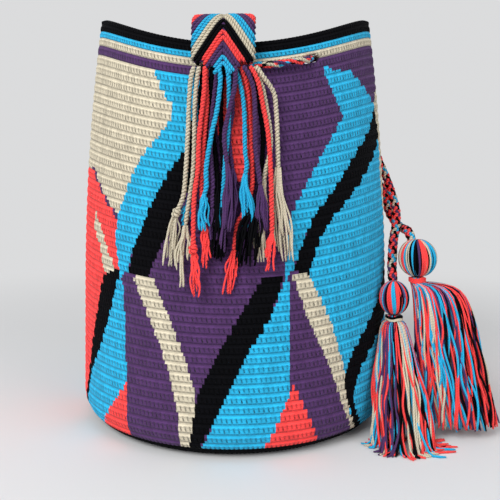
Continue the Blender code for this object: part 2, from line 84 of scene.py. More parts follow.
# The rim's own edge: place in the wall's thickness, drop in it, direction, row and relief
RIM_SECTION = (
    (0.93, 0.35, -0.8, 0.4, 0.4, 0.0), (0.72, 0.06, -0.4, 0.8, 0.2, 0.0),
    (0.50, 0.00, 0.0, 1.0, 0.1, 0.5), (0.22, 0.03, 0.5, 0.8, 0.05, 0.3),
)
ROW_SECTION = (0.2, 0.95, 0.85)     # relief in three places down a row
INNER_RELIEF = 0.35

# Eyelets, by their angle in degrees, and half the size of their openings
EYELET_DROP = 0.017
EYELETS = (97.0, 29.0, -8.0, -90.0, -125.0, -156.0, -204.0, -241.0)
EYELET_STITCHES = 2.6
EYELET_ROWS = 0.50
EYELET_REACH = 0.014        # all of an opening's edge is this near its centre

# Drawstring
STRING_DIAMETER = 0.005
STRING_GAP = 0.0014
CROSSING_RUN = 0.014
STRING_KNOT_SPACING = 12.0
STRING_END_DROP = 0.016
STRING_TURN_ANGLE = 3.2
SEAT_GAP = 0.0003
STRING_YARNS = (CORAL, CREAM, PURPLE, BLACK, BLUE, CORAL)

# Tails and tassels. A skirt widens from its neck over a shoulder to its end. Clear is the
# share of its lower half that it stops short of the floor, and way is the side of its eyelet
# on which the tail hangs.
TAIL_DIAMETER = 0.0066
TAIL_GAP = 0.0007
TAIL_YARNS = (CORAL, CORAL, CREAM, CORAL, BLACK, PURPLE, BLACK, BLUE)
NECK_RADIUS = 0.0050
NECK_LENGTH = 0.0036
HEAD_THREAD = 0.0013
HEAD_THREADS = 66
HEAD_CLUMPS = (2, 0.8)      # longest run of one yarn, and share of the runs that are mixed
TIE_THREAD = 0.0009
TIE_TURNS = 3.0
SKIRT_THREAD = 0.0015
SKIRT_CLUMPS = (3, 0.35)
FLOOR_RUN = 0.010           # of the longest threads that lie out on the floor
# Yarns round each tassel, from its front towards +X
SKIRT_YARNS = (CORAL, PURPLE, BLUE, CORAL, BLACK, CREAM, CORAL, BLUE, PURPLE, CORAL, BLACK,
               CORAL, CREAM, PURPLE, BLUE, CORAL, BLACK, PURPLE, CORAL, CREAM, BLUE)
TASSELS = (
    SimpleNamespace(
        suffix="near", seed=11, eyelet=EYELETS[0], way=1,
        head=Vector((0.1090, -0.0570, 0.0887)), radius=0.0098, height=0.0228,
        head_yarns=(BLUE, PURPLE, BLUE, CREAM, CREAM, BLACK, BLACK, PURPLE, CORAL, BLUE,
                    CREAM, BLACK, CORAL, PURPLE, BLUE, CREAM, BLACK, CORAL, CORAL, BLACK,
                    CORAL, CORAL, PURPLE, CORAL, BLUE, PURPLE),
        tie_yarns=(BLACK, CREAM), threads=165, clear=0.0,
        shoulder=Vector((0.0, 0.0, -0.0060)), shoulder_reach=(0.0102, 0.0095),
        end=Vector((0.1080, -0.0880, 0.0003)), spread=(0.0205, 0.0155),
        route=(
            (0.1115, 0.0240, 0.2050), (0.1143, 0.0200, 0.1880), (0.1200, 0.0140, 0.1708),
            (0.1213, 0.0060, 0.1620), (0.1224, -0.0040, 0.1501), (0.1213, -0.0130, 0.1416),
            (0.1187, -0.0210, 0.1331), (0.1153, -0.0290, 0.1263), (0.1125, -0.0380, 0.1171),
            (0.1102, -0.0460, 0.1081))),
    SimpleNamespace(
        suffix="far", seed=23, eyelet=EYELETS[-1], way=-1,
        head=Vector((0.1268, -0.0500, 0.1150)), radius=0.0130, height=0.0260,
        head_yarns=(CORAL, CREAM, CORAL, BLACK, CORAL, BLACK, PURPLE, CORAL, BLUE, CREAM,
                    PURPLE, CORAL, BLACK, BLUE, CREAM, CORAL, PURPLE, BLUE, CREAM, BLUE,
                    BLUE, PURPLE, CREAM, BLUE, BLACK, CORAL),
        tie_yarns=(CORAL, CORAL), threads=210, clear=0.125,
        shoulder=Vector((0.0135, -0.0030, -0.0075)), shoulder_reach=(0.0185, 0.0125),
        end=Vector((0.1530, -0.0660, 0.0003)), spread=(0.0250, 0.0165),
        route=(
            (0.1063, 0.0390, 0.2150), (0.1112, 0.0345, 0.1820), (0.1175, 0.0290, 0.1670),
            (0.1218, 0.0220, 0.1543), (0.1213, 0.0130, 0.1453), (0.1237, 0.0030, 0.1378),
            (0.1257, -0.0060, 0.1340), (0.1266, -0.0170, 0.1325),
            (0.1264, -0.0290, 0.1315))),
)

# Strap
STRAP_WIDTH = 0.040
STRAP_THICKNESS = 0.005
STRAP_X = -0.005
STRAP_END_HEIGHT = 0.2357
STRAP_GAP = 0.0008
STRAP_INSIDE_GAP = 0.0012
STRAP_STANDOFF = ROW_RELIEF + STRING_GAP + STRING_DIAMETER + STRAP_GAP
FOLD_RISE = 0.0155
FLAP_LENGTH = 0.115
FLAP_INSET = 0.014
FLAP_PITCH = 0.018
# Where the strap turns between wall and base, as (past the base's edge, above the strap there)
FRONT_TURN = ((0.0075, 0.0095), (-0.004, 0.0))
BACK_TURN = ((-0.006, 0.001), (0.0110, 0.018))
BACK_RISE = 0.020
PLAIT_CORD = 0.0023         # the strap's cords, pressed together
PLAIT_PITCH = 0.0039        # along the strap, from cord to cord
PLAIT_LEAN = math.tan(math.radians(57.0))
PLAIT_SEQUENCE = (BLUE, PURPLE, CORAL, BLACK, CREAM)
STRAP_CORE = 0.0016
# The front face's plait runs on in a tongue below the strap's end
TONGUE_WIDTHS = (0.005, 0.007, 0.010, 0.012)
TONGUE_REACH = (0.012, 0.003, 0.003, 0.0)
TONGUE_LIFT = 0.0012

# Fringe cords
FRINGE_DIAMETER = 0.0026
FRINGE_GAP = 0.0009
LAYER_PITCH = 0.0032
WALL_LAYER = 0.0027
LAYER_SETTLE = 0.0235
INNER_ROW = 0
OUTER_ROW = 1
BACK_FRINGE_LENGTH = 0.085
BACK_FRINGE_COUNT = 10
BACK_FRINGE_WAVE = 0.0006
BACK_FRINGE_COLOURS = (CREAM, BLACK, CORAL, PURPLE, BLUE)
KNOTTED_CORDS = (1, 5)

# How threads are laid
CORD_DIAMETER = 0.0033      # over both plies, which bulge past the plain cord
CORD_RING = 0.0006
CORD_LAY = 0.0042
CORD_WAIST = 0.52
THREAD_LAY = 0.0034
THREAD_SPACING = 4.0        # between straight threads, before they follow their routes
END_SHARE = 0.6             # thickness of a thread's last ring
ROUTE_STEP = 0.002
FRAYED_PLY = 0.42           # thickness of a cord from where it frays
FRAY_DIAMETER = 0.0012
FRAY_OPENED = 0.3           # share of its spread that a frayed end has where it starts
# Frayed ends: threads, how far they spread and how far they come forward, and those of the
# front cords that differ, by the cord's number
FRAY_SHAPE = (12, 0.0036, 0.0)
BACK_FRAY_SHAPE = (10, 0.0030, 0.0)
FRAY_SHAPES = {
    1: (12, 0.0046, 0.0), 2: (12, 0.0044, 0.0), 7: (12, 0.0042, 0.0035),
    12: (15, 0.0034, 0.0), 13: (14, 0.0040, 0.0025), 14: (14, 0.0042, 0.001),
    16: (15, 0.0036, 0.0), 17: (26, 0.0080, 0.0065), 19: (14, 0.0044, 0.0),
    20: (16, 0.0058, 0.0),
}

# Camera, light and floor
CAMERA_PLACE = (0.0109, -0.470, 0.162)
CAMERA_LENS = 43.632
CAMERA_SHIFT = -0.12
LAMPS = (
    ("key", (-0.75, -1.25, 1.15), (0.0, 0.0, 0.14), 25.0, 0.9),
    ("fill", (1.1, -1.0, 0.8), (0.02, 0.0, 0.12), 7.0, 1.0),
)
BACKGROUND = (0.985, 0.99, 1.0, 1.0)
AMBIENT_LIGHT = 0.50
BACKGROUND_GAIN = 0.22      # more of it where the camera looks straight at it
FLOOR_COLOUR = (0.74, 0.745, 0.75, 1.0)
FLOOR_FADE = (0.22, 0.85)   # distances over which the floor turns into the background

MILLIMETRE = 0.001

# Front cords: yarn, row in the strap's end, layer, height where the cord frays, and the
# route as (across, height), in millimetres
FRONT_FRINGE = (
    (CREAM, OUTER_ROW, 2, 147, (
        (-22, 235), (-24, 228), (-25.5, 212), (-26, 195), (-27, 173), (-28.5, 158),
        (-33, 147), (-35, 133), (-35.5, 117))),
    (CREAM, OUTER_ROW, 2, 140, (
        (-19, 235), (-21, 223), (-22, 206), (-22, 191), (-22.5, 173), (-24.5, 158),
        (-27, 140), (-28.5, 121), (-28.5, 105))),
    (BLUE, INNER_ROW, 1, 152, (
        (-22, 235), (-21.5, 221), (-21.5, 209), (-21, 191), (-23, 168), (-26, 153),
        (-29, 141))),
    (BLACK, INNER_ROW, 1, 154, (
        (-18, 235), (-17.5, 226), (-18, 215), (-18, 206), (-17.5, 191), (-18, 174),
        (-17, 156), (-16.5, 141))),
    (CORAL, OUTER_ROW, 3, 127, (
        (-15.5, 235), (-16, 221), (-18, 203), (-19, 191), (-19.5, 174), (-21.5, 158),
        (-22, 137), (-22, 121), (-21.5, 100))),
    (CORAL, INNER_ROW, 2, 141, (
        (-15, 235), (-15, 225), (-14.5, 215), (-15.5, 200), (-16, 191), (-17.5, 167),
        (-16.5, 150), (-15, 136), (-14.5, 116))),
    (BLACK, INNER_ROW, 1, 172, (
        (-11.5, 235), (-12, 224), (-12, 212), (-11, 195), (-9, 177), (-8.5, 162),
        (-8.5, 141), (-10, 122))),
    (PURPLE, INNER_ROW, 2, 150, (
        (-8.5, 235), (-9.5, 224), (-11.5, 206), (-12.5, 190), (-12, 177), (-11, 167),
        (-11, 150), (-11.5, 133))),
    (BLACK, INNER_ROW, 1, 140, (
        (-5, 235), (-6, 224), (-6.5, 212), (-6, 191), (-5, 174), (-5, 150), (-6, 120))),
    (BLUE, OUTER_ROW, 3, 158, (
        (-7.5, 235), (-6.5, 226), (-8.5, 209), (-11.5, 195), (-14.5, 176), (-14.5, 164),
        (-16, 156), (-15, 138))),
    (BLUE, OUTER_ROW, 2, 155, (
        (-2.5, 235), (-1.5, 226), (-1.5, 214), (-2, 197), (-3.5, 180), (-4.5, 165),
        (-5.5, 150), (-6, 140))),
    (PURPLE, OUTER_ROW, 3, 176, (
        (2.5, 235), (2, 223), (-1, 210), (-4, 195), (-3.5, 185), (-2, 174), (-1.5, 164),
        (-2, 153), (-3.5, 137), (-4, 126))),
    (PURPLE, INNER_ROW, 1, 174, (
        (-1.5, 235), (0, 224), (0.5, 210), (-1.5, 195), (-1, 185), (0.5, 174), (0.5, 164),
        (0, 153), (-1.5, 139))),
    (BLUE, INNER_ROW, 2, 170, (
        (2, 235), (5.5, 223), (7.5, 209), (8, 186), (9, 176), (7.5, 167), (9, 153),
        (9.5, 140))),
    (CORAL, INNER_ROW, 1, 126, (
        (5.5, 235), (9.5, 223), (10.5, 206), (11, 192), (12, 177), (12, 163), (7.5, 149),
        (3.5, 142), (1.5, 126), (-2, 101))),
    (PURPLE, OUTER_ROW, 3, 164, (
        (7, 235), (11, 228), (13.5, 217), (14, 189), (15.5, 176), (17, 164), (17.5, 150),
        (18, 137))),
    (BLACK, INNER_ROW, 1, 152, (
        (9.5, 235), (14.5, 224), (17, 209), (18.5, 195), (18, 180), (16, 162), (11.5, 141),
        (8.5, 118))),
    (CORAL, OUTER_ROW, 3, 136, (
        (11, 235), (15.5, 226), (18.5, 212), (21.5, 195), (23, 173), (23.5, 150),
        (23.5, 137), (21.5, 115))),
    (CREAM, INNER_ROW, 2, 166, (
        (13, 235), (17.5, 226), (20.5, 212), (23, 195), (22.5, 183), (20, 173), (18, 156),
        (16, 136), (17.5, 120))),
    (CREAM, OUTER_ROW, 2, 174, (
        (14.5, 235), (18.5, 229), (25, 220), (26.5, 209), (27, 198), (27.5, 176),
        (27.5, 164), (29, 150), (31, 133), (32, 120))),
)

# The wall's pattern: yarn, and an outline of (stitch, row) corners, with the rows evenly tall
# as they are before the rim sags. It repeats after half the bag, and a later outline covers
# an earlier one.
PATTERN_REPEAT = 120
PATTERN = (
    (CREAM, ((-66, 4), (-16, 4), (-13.5, 6), (-11, 8), (-12, 9), (-14, 11), (-18, 14),
             (-21, 16), (-24, 19), (-27.5, 21), (-30, 20), (-33, 19), (-40, 16),
             (-64, 16))),
    (BLUE, ((-18.5, 4), (-16, 6), (-13.3, 7.5), (-13.7, 9), (-16.3, 11.3), (-19.8, 13.5),
            (-22.7, 16), (-25.2, 18.7), (-27.7, 21.3), (-27.8, 24), (-26.3, 27),
            (-23.7, 26.5), (-22.3, 24.3), (-20.2, 22.4), (-18.2, 20.2), (-16, 18),
            (-13.5, 15.6), (-10.2, 13), (-7, 4))),
    (BLACK, ((-10.2, 13), (-13.5, 15.6), (-16, 18), (-18.2, 20.2), (-20.2, 22.4),
             (-22.3, 24.3), (-23.7, 26.7), (-18, 26.7), (-15.5, 24.2), (-13.8, 23), (-9, 18),
             (-5, 12), (-2, 4), (-7, 4))),
    (CORAL, ((-5, 4), (6, 4), (3, 16.5), (-1, 16.5))),
    (BLUE, ((22.2, 4), (30.2, 4.5), (44.3, 9.4), (38.5, 11.9), (31.8, 13.9), (27.7, 15.7),
            (22.3, 18.6), (18.5, 20.4), (16, 22.4), (12.7, 26), (10.8, 27), (11.2, 25.2),
            (12.2, 20.9), (14.3, 18.9), (17, 16.5), (20.7, 13.5), (24.8, 11.1),
            (27.3, 9.7))),
    (CREAM, ((44, 9), (51, 7), (54, 4), (57, 4), (57, 27), (51, 27), (45, 16), (45, 12))),
    (BLUE, ((46.7, 12.7), (37.2, 15.9), (31, 18), (26.2, 19.8), (22.2, 21.4), (19.2, 23.2),
            (16.3, 26.5), (21.7, 30.8), (24, 33.3), (25.2, 35), (26, 36.5), (26.7, 38.2),
            (27.8, 40.2), (31.7, 42.6), (37, 44.5), (37, 46), (61, 46), (57, 36),
            (52, 27), (46, 17))),
    (BLACK, ((44.3, 9.4), (38.5, 11.9), (31.8, 13.9), (27.7, 15.7), (22.3, 18.6),
             (18.5, 20.4), (16, 22.4), (12.7, 26.2), (16.3, 26.5), (19.2, 23.2),
             (22.2, 21.4), (26.2, 19.8), (31, 18), (37.2, 15.9), (46.7, 12.7))),
    (CORAL, ((-64, 16), (-40.5, 16.4), (-33.3, 19.2), (-29.7, 20.5), (-27.7, 21.4),
             (-27.8, 24), (-26.3, 26.8), (-32.5, 26.8), (-39.5, 37.1), (-44, 40), (-47, 46),
             (-60, 46), (-64, 36), (-69, 27))),
    (CREAM, ((-38.7, 22.6), (-34.7, 24.2), (-32.5, 26.7), (-27, 26.8), (-30.5, 24.9),
             (-33.8, 22.7), (-37.7, 20.8))),
    (BLACK, ((-32.5, 26.8), (-26.3, 26.5), (-28, 28.4), (-30.8, 31.6), (-34.5, 34.4),
             (-39.5, 37.1), (-44, 41), (-46, 46), (-49, 46), (-47, 41), (-42.3, 38))),
    (BLUE, ((-26.3, 26.5), (-28, 28.4), (-30.8, 31.6), (-34.5, 34.4), (-39.5, 37.1),
            (-44, 41), (-46, 46), (-24, 46), (-24, 37), (-25, 28))),
    (CORAL, ((-24, 36.8), (-36.8, 43.2), (-39, 46), (-24, 46))),
    (CREAM, ((-22, 27), (-17.7, 30.6), (-14.7, 33.2), (-12.3, 36.7), (-11.2, 38.9),
             (-10.8, 45), (-7.5, 45), (-7.8, 41.2), (-7.5, 36.7), (-9.5, 33.9),
             (-12.8, 30.5), (-17.2, 26.6))),
    (BLUE, ((10.8, 27), (7.8, 30.3), (3.7, 32.9), (-0.3, 36.4), (-3.3, 39.1), (-7.8, 43.5),
            (-7, 46), (12, 46), (12.2, 27))),
    (BLACK, ((6.2, 26.6), (1.2, 30.3), (-2.3, 32.9), (-5.3, 35.6), (-7, 37), (-9.7, 44.1),
             (-9.7, 45), (-8, 45), (-7.8, 42.9), (-3.3, 39.1), (-0.3, 36.4), (3.7, 32.9),
             (7.8, 30.3), (10.8, 26.6))),
    (CORAL, ((12.8, 36.3), (15, 38.2), (17.2, 40.2), (19, 41.9), (21.2, 43.5), (22.5, 46),
             (4, 46), (5.5, 43.5))),
    (CREAM, ((12.5, 26.4), (16.2, 30.6), (19.7, 33.5), (22, 35.6), (24.3, 38), (25.7, 39.5),
             (28.5, 41.5), (31.7, 43.2), (31.7, 42.4), (27.8, 40.2), (26.7, 38.2),
             (26, 36.5), (25.2, 35), (24, 33.3), (21.7, 30.8), (16.2, 26.4))),
    (BLACK, ((41.8, 29.7), (37.7, 30.9), (32.2, 32.9), (28.3, 34.5), (26.3, 36),
             (26, 36.9), (27, 38.9), (28.3, 40.5), (33, 43.2), (38, 44.8), (38.5, 43.8),
             (33.5, 42.3), (29.6, 39.8), (28.9, 38.6), (29.5, 37.5), (32.2, 35.8),
             (36, 34.7), (43, 33), (49.5, 31.8), (51, 29), (51, 26))),
)


# Shape of the bag

def smooth(amount):
    """Ease from 0 to 1, for a number or an array."""
    amount = np.clip(amount, 0.0, 1.0)
    return amount * amount * (3.0 - 2.0 * amount)


def wall_radius(height):
    """Outer radius of the upright wall at a height, before the rim sags."""
    taper = np.clip((height - TAPER_FOOT) / (BAG_HEIGHT - TAPER_FOOT), 0.0, None)
    return BAG_RADIUS - (BAG_RADIUS - MOUTH_RADIUS) * taper ** TAPER_POWER


def sag(height, angle):
    """How far the wall hangs down at a height and an angle."""
    return RIM_SAG * np.cos(angle) ** 2 * smooth((height - SAG_FOOT) / (BAG_HEIGHT - SAG_FOOT))


def unsagged_height(height, angle):
    """The height on the wall before the rim sags, for a height after it."""
    unsagged = height
    for _ in range(SAG_STEPS):
        unsagged = height + sag(unsagged, angle)
    return unsagged


def wall_point(angle, height, offset):
    """A point off the outer wall, from its angle and its height before the rim sags."""
    radius = wall_radius(height) + offset
    return Vector((
        radius * math.sin(angle),
        -radius * math.cos(angle),
        height - sag(height, angle),
    ))


def front_point(across, height, offset):
    """A point off the front wall, from its final x and z."""
    angle = math.asin(across / (BAG_RADIUS + offset))
    unsagged = unsagged_height(height, angle)
    radius = wall_radius(unsagged) + offset
    return Vector((across, -math.sqrt(radius ** 2 - across ** 2), height))


def smooth_route(points, spacing):
    """Points at even spacing on a smooth curve through the given points."""
    ends = [2 * points[0] - points[1]], [2 * points[-1] - points[-2]]
    guides = ends[0] + list(points) + ends[1]
    fine = []
    for before, start, end, after in zip(guides, guides[1:], guides[2:], guides[3:]):
        for step in range(16):
            t = step / 16
            fine.append(0.5 * (
                2 * start
                + (end - before) * t
                + (2 * before - 5 * start + 4 * end - after) * t ** 2
                + (3 * start - before - 3 * end + after) * t ** 3
            ))
    fine.append(points[-1])
    lengths = [(b - a).length for a, b in zip(fine, fine[1:])]
    count = max(2, round(sum(lengths) / spacing))
    stride = sum(lengths) / count
    route = [fine[0]]
    travelled = 0.0
    for start, end, length in zip(fine, fine[1:], lengths):
        while len(route) < count and travelled + length >= len(route) * stride:
            route.append(start.lerp(end, (len(route) * stride - travelled) / length))
        travelled += length
    route.append(fine[-1])
    return route


def route_length(route):
    """Length of a route."""
    return sum((Vector(b) - Vector(a)).length for a, b in zip(route, route[1:]))


def lengths_along(points):
    """Lengths from the first point to each, for the points of one route or of several."""
    steps = np.linalg.norm(np.diff(points, axis=-2), axis=-1)
    first = np.zeros(steps.shape[:-1] + (1,))
    return np.concatenate((first, np.cumsum(steps, axis=-1)), axis=-1)


def even_points(route, rings):
    """A route as an array of evenly spaced points, one more than its rings."""
    points = np.array([tuple(point) for point in route])
    along = lengths_along(points)
    marks = np.linspace(0.0, along[-1], rings + 1)
    return np.column_stack([np.interp(marks, along, points[:, axis]) for axis in range(3)])


def aside(centre, turn, reach_x, reach_y, rise):
    """A point off a centre, at an angle from its front towards +X."""
    return (
        centre.x + math.sin(turn) * reach_x, centre.y - math.cos(turn) * reach_y,
        centre.z + rise)


# Node helpers and effects

def feed(socket, value):
    """Give an input a number, a colour or the output of another node."""
    if isinstance(value, Signal):
        value = value.socket
    if isinstance(value, bpy.types.NodeSocket):
        socket.id_data.links.new(value, socket)
    else:
        socket.default_value = value


def add_node(tree, kind, operation=None, **inputs):
    """A node with its inputs filled, an underscore in a name standing for a space."""
    node = tree.nodes.new(kind)
    if operation:
        node.operation = operation
    for name, value in inputs.items():
        feed(node.inputs[name.replace("_", " ")], value)
    return node


class Signal:
    """A node's output, which can be calculated with like a number."""

    def __init__(self, socket):
        self.socket = socket

    def apply(self, operation, *others):
        """The result of a Math node on this value and others."""
        node = add_node(self.socket.id_data, "ShaderNodeMath", operation)
        for socket, value in zip(node.inputs, (self, *others)):
            feed(socket, value)
        return Signal(node.outputs[0])

    def __add__(self, other):
        return self.apply("ADD", other)

    def __sub__(self, other):
        return self.apply("SUBTRACT", other)

    def __rsub__(self, number):
        return self.scale(-1.0, number)

    def __mul__(self, other):
        return self.apply("MULTIPLY", other)

    def __truediv__(self, other):
        return self.apply("DIVIDE", other)

    def __abs__(self):
        return self.apply("ABSOLUTE")

    def scale(self, factor, offset):
        """This value times a factor, plus an offset."""
        return self.apply("MULTIPLY_ADD", factor, offset)

    def ease(self, low, high):
        """0 where the value is at low, 1 where it is at high, with soft ends."""
        node = add_node(
            self.socket.id_data, "ShaderNodeMapRange", Value=self, From_Min=min(low, high),
            From_Max=max(low, high), To_Min=float(low > high), To_Max=float(low < high))
        node.interpolation_type = "SMOOTHSTEP"
        return Signal(node.outputs["Result"])


def new_effect(name, place, **numbers):
    """A node group with one vector input and named numbers, and the signals of them all."""
    group = bpy.data.node_groups.new(name, "ShaderNodeTree")
    group.interface.new_socket(place, in_out="INPUT", socket_type="NodeSocketVector")
    for label, value in numbers.items():
        group.interface.new_socket(
            label.replace("_", " "), in_out="INPUT", socket_type="NodeSocketFloat"
        ).default_value = value
    sockets = group.nodes.new("NodeGroupInput").outputs
    return group, [Signal(sockets[number]) for number in range(len(numbers) + 1)]


def close_effect(group, **results):
    """Give a node group its outputs."""
    for label in results:
        group.interface.new_socket(label, in_out="OUTPUT", socket_type="NodeSocketFloat")
    add_node(group, "NodeGroupOutput", **results)
    return group


def split(group, vector):
    """The first two parts of a vector."""
    parts = add_node(group, "ShaderNodeSeparateXYZ", Vector=vector).outputs
    return Signal(parts["X"]), Signal(parts["Y"])


def cell_chance(group, x, y, z):
    """A random value for each cell of a grid."""
    cell = add_node(group, "ShaderNodeCombineXYZ", X=x, Y=y, Z=z)
    noise = add_node(group, "ShaderNodeTexWhiteNoise", Vector=cell.outputs[0])
    return Signal(noise.outputs["Value"])


def make_stitch_effect():
    """Single crochet: a looped post in every stitch, leaning, with a slit beside it."""
    group, (stitch_map, lean) = new_effect("crochet stitch", "Stitch Map", Lean=0.25)
    x, y = split(group, stitch_map)
    row = y.apply("FLOOR")
    down = y.apply("FRACT")
    across = x + (row + 400.0).apply("MODULO", 2.0) * 0.5
    side = (across - (down - 0.5) * lean).apply("FRACT")

    slit_chance = cell_chance(group, across.apply("ROUND"), row, 7.0)
    slit_x = (0.5 - abs(side - 0.5)) / 0.18
    slit_y = (down - slit_chance.scale(0.16, 0.52)) / 0.26
    slit_distance = (slit_x.apply("POWER", 2.0) + slit_y * slit_y).apply("SQRT")
    slit = slit_distance.ease(1.0, 0.30) * slit_chance.scale(0.70, 0.38)

    foot = down.ease(-0.05, 0.26) * down.ease(1.05, 0.80)
    post = (side * math.pi).apply("SINE").scale(0.45, 0.45)
    bar = abs(down - 0.22).ease(0.24, 0.06)
    below_bar = abs(down - 0.47).ease(0.11, 0.02)
    body = (bar * 0.95).apply("MAXIMUM", post) * foot
    # Painted shade along the crease lines under each bar and between rows
    crease_shade = (below_bar * 0.30).apply("MAXIMUM", (1.0 - foot) * 0.55)
    # Outputs: painted shade in the slits and crease lines, and a painted highlight on each top
    # bar
    return close_effect(
        group, Height=body - slit * 0.9 - below_bar * 0.25,
        Gap=slit.apply("MAXIMUM", crease_shade), Bar=bar,
        Chance=cell_chance(group, across.apply("FLOOR"), row, 0.0))


def make_twist_effect():
    """Plies laid round each other: ridges that run round the cord as they run along it."""
    group, (cord_map, lay, plies) = new_effect(
        "twisted plies", "Cord Map", Lay=0.006, Plies=2.0)
    x, y = split(group, cord_map)
    turn = y / lay
    ridge = abs(((x - turn) * plies * math.pi).apply("COSINE"))
    fine = ((x * 9.0 + turn * 9.0) * (2 * math.pi)).apply("SINE")
    # The second output is painted shade in the grooves between the plies
    return close_effect(group, Height=fine.scale(0.10, ridge), Groove=ridge.ease(0.62, 0.05))


def make_fibre_effect():
    """Loose fibres and slow unevenness of the dye, from the object's own coordinates."""
    group, (place, fibre_scale, tone_range) = new_effect(
        "yarn fibres", "Place", Fibre_Scale=2600.0, Tone_Range=0.12)
    fuzz = add_node(
        group, "ShaderNodeTexNoise", Vector=place, Scale=fibre_scale, Detail=3.0,
        Roughness=0.6)
    slow = add_node(
        group, "ShaderNodeTexNoise", Vector=place, Scale=55.0, Detail=2.0, Roughness=0.5)
    tone = (Signal(slow.outputs["Fac"]) - 0.5).scale(tone_range, 1.0)
    return close_effect(group, Fuzz=fuzz.outputs["Fac"], Tone=tone)


STITCH_EFFECT = make_stitch_effect()
TWIST_EFFECT = make_twist_effect()
FIBRE_EFFECT = make_fibre_effect()


def use_effect(tree, effect, place, **inputs):
    """The outputs of an effect's group, placed in a material."""
    node = tree.nodes.new("ShaderNodeGroup")
    node.node_tree = effect
    feed(node.inputs[0], place)
    for name, value in inputs.items():
        feed(node.inputs[name.replace("_", " ")], value)
    return {socket.name: Signal(socket) for socket in node.outputs}


def make_yarn(name, colour, effect, settings, fibres, roughness, relief, shade_from):
    """A matt, slightly downy yarn, with one effect's relief and shade and its own fibres.

    Fibres are their scale, their range of tones and their bump's strength and depth.
    """
    fibre_scale, tone_range, fuzz_strength, fuzz_depth = fibres
    dark = max(colour) < DARK_YARN
    material = bpy.data.materials.new(name)
    material.use_nodes = True
    tree = material.node_tree
    place = tree.nodes.new("ShaderNodeTexCoord").outputs
    pattern = use_effect(tree, effect, place["UV"], **settings)
    fibre = use_effect(
        tree, FIBRE_EFFECT, place["Object"], Fibre_Scale=fibre_scale, Tone_Range=tone_range)
    fuzz = fibre["Fuzz"]
    # Painted shade and highlight from the effect, times random tone of dye and fibres
    shade = shade_from(pattern) * fibre["Tone"] * fuzz.scale(0.24, 0.90)
    tinted = add_node(tree, "ShaderNodeVectorMath", "SCALE", Vector=colour, Scale=shade)
    fuzz_bump = add_node(
        tree, "ShaderNodeBump", Strength=fuzz_strength, Distance=fuzz_depth, Height=fuzz)
    bump = add_node(
        tree, "ShaderNodeBump", Strength=0.9, Distance=relief, Height=pattern["Height"],
        Normal=fuzz_bump.outputs["Normal"])
    shader = tree.nodes["Principled BSDF"].inputs
    for label, value in (
            ("Sheen Weight", 0.0 if dark else 0.06), ("Sheen Roughness", 0.5),
            ("Specular IOR Level", 0.06 if dark else 0.20),
            ("Base Color", tinted.outputs["Vector"]),
            ("Roughness", fuzz.scale(0.15, roughness)), ("Normal", bump.outputs["Normal"])):
        feed(shader[label], value)
    return material


def crochet_shade(stitch):
    """Painted shade in slits and crease lines, painted highlights on bars, and uneven stitches.
    """
    chance = stitch["Chance"]
    # Painted shade in slits and crease lines, deeper where dark carried yarn shows; painted bar
    # highlight
    depth = chance.ease(0.93, 0.96).scale(0.34, 0.52)
    return (1.0 - stitch["Gap"] * depth) * chance.scale(0.24, 0.88) * stitch["Bar"].scale(
        0.16, 1.00)


def make_crochet_yarn(name, colour):
    """Crocheted cotton of one colour, mapped in stitches and rows."""
    return make_yarn(
        name, colour, STITCH_EFFECT, {"Lean": 0.5}, (2200.0, 0.16, 0.35, 0.0003), 0.78,
        0.0013, crochet_shade)


def make_twisted_yarn(name, colour, lay, relief, groove_shade_depth):
    """Twisted two-ply yarn of one colour, mapped round and along the cord."""
    return make_yarn(
        name, colour, TWIST_EFFECT, {"Lay": lay, "Plies": 2.0}, (2600.0, 0.20, 0.3, 0.0002),
        # Painted shade in the grooves between the plies, as deep as given
        0.74, relief, lambda twist: 1.0 - twist["Groove"] * groove_shade_depth)


def make_yarns(kind, make, *details):
    """One material for each yarn."""
    return [
        make(f"{name} {kind}", colour, *details)
        for name, colour in zip(YARN_NAMES, YARN_COLOURS)]


CROCHET_YARNS = make_yarns("crochet", make_crochet_yarn)
# The last number is how deep the painted shade in the ply grooves is
CORD_YARNS = make_yarns("cord", make_twisted_yarn, CORD_LAY, 0.0004, 0.68)
THREAD_YARNS = make_yarns("thread", make_twisted_yarn, THREAD_LAY, 0.0001, 0.30)


# Cords and threads

def deselect_all():
    """Leave edit mode and select nothing."""
    if bpy.context.mode != "OBJECT":
        bpy.ops.object.mode_set(mode="OBJECT")
    bpy.ops.object.select_all(action="DESELECT")


def straight_threads(name, count, sides, rings):
    """Copies of one straight thread, side by side along X."""
    deselect_all()
    bpy.ops.mesh.primitive_cylinder_add(vertices=sides, radius=0.5, depth=1.0)
    bundle = bpy.context.object
    bundle.name = name
    bpy.ops.object.mode_set(mode="EDIT")
    bpy.ops.mesh.select_mode(type="EDGE")
    shape = bmesh.from_edit_mesh(bundle.data)
    for edge in shape.edges:
        edge.select_set(abs(edge.verts[0].co.z - edge.verts[1].co.z) > 0.5)
    bmesh.update_edit_mesh(bundle.data)
    bpy.ops.mesh.subdivide(number_cuts=rings - 1)
    bpy.ops.object.mode_set(mode="OBJECT")
    if count > 1:
        copies = bundle.modifiers.new("copies", "ARRAY")
        copies.count = count
        copies.use_relative_offset = False
        copies.use_constant_offset = True
        copies.constant_offset_displace = (THREAD_SPACING, 0.0, 0.0)
        bpy.ops.object.modifier_apply(modifier=copies.name)
    return bundle


def cross_frames(routes):
    """Two directions square to each route at each of its points, carried along it."""
    tangents = np.gradient(routes, axis=1)
    tangents /= np.maximum(np.linalg.norm(tangents, axis=2, keepdims=True), 1e-9)
    first = np.empty_like(routes)
    guide = np.cross(tangents[:, 0], np.array([0.23, 0.91, 0.34]))
    guide /= np.linalg.norm(guide, axis=1, keepdims=True)
    for ring in range(routes.shape[1]):
        along = tangents[:, ring]
        guide = guide - along * np.sum(guide * along, axis=1, keepdims=True)
        guide /= np.maximum(np.linalg.norm(guide, axis=1, keepdims=True), 1e-9)
        first[:, ring] = guide
    return first, np.cross(tangents, first)


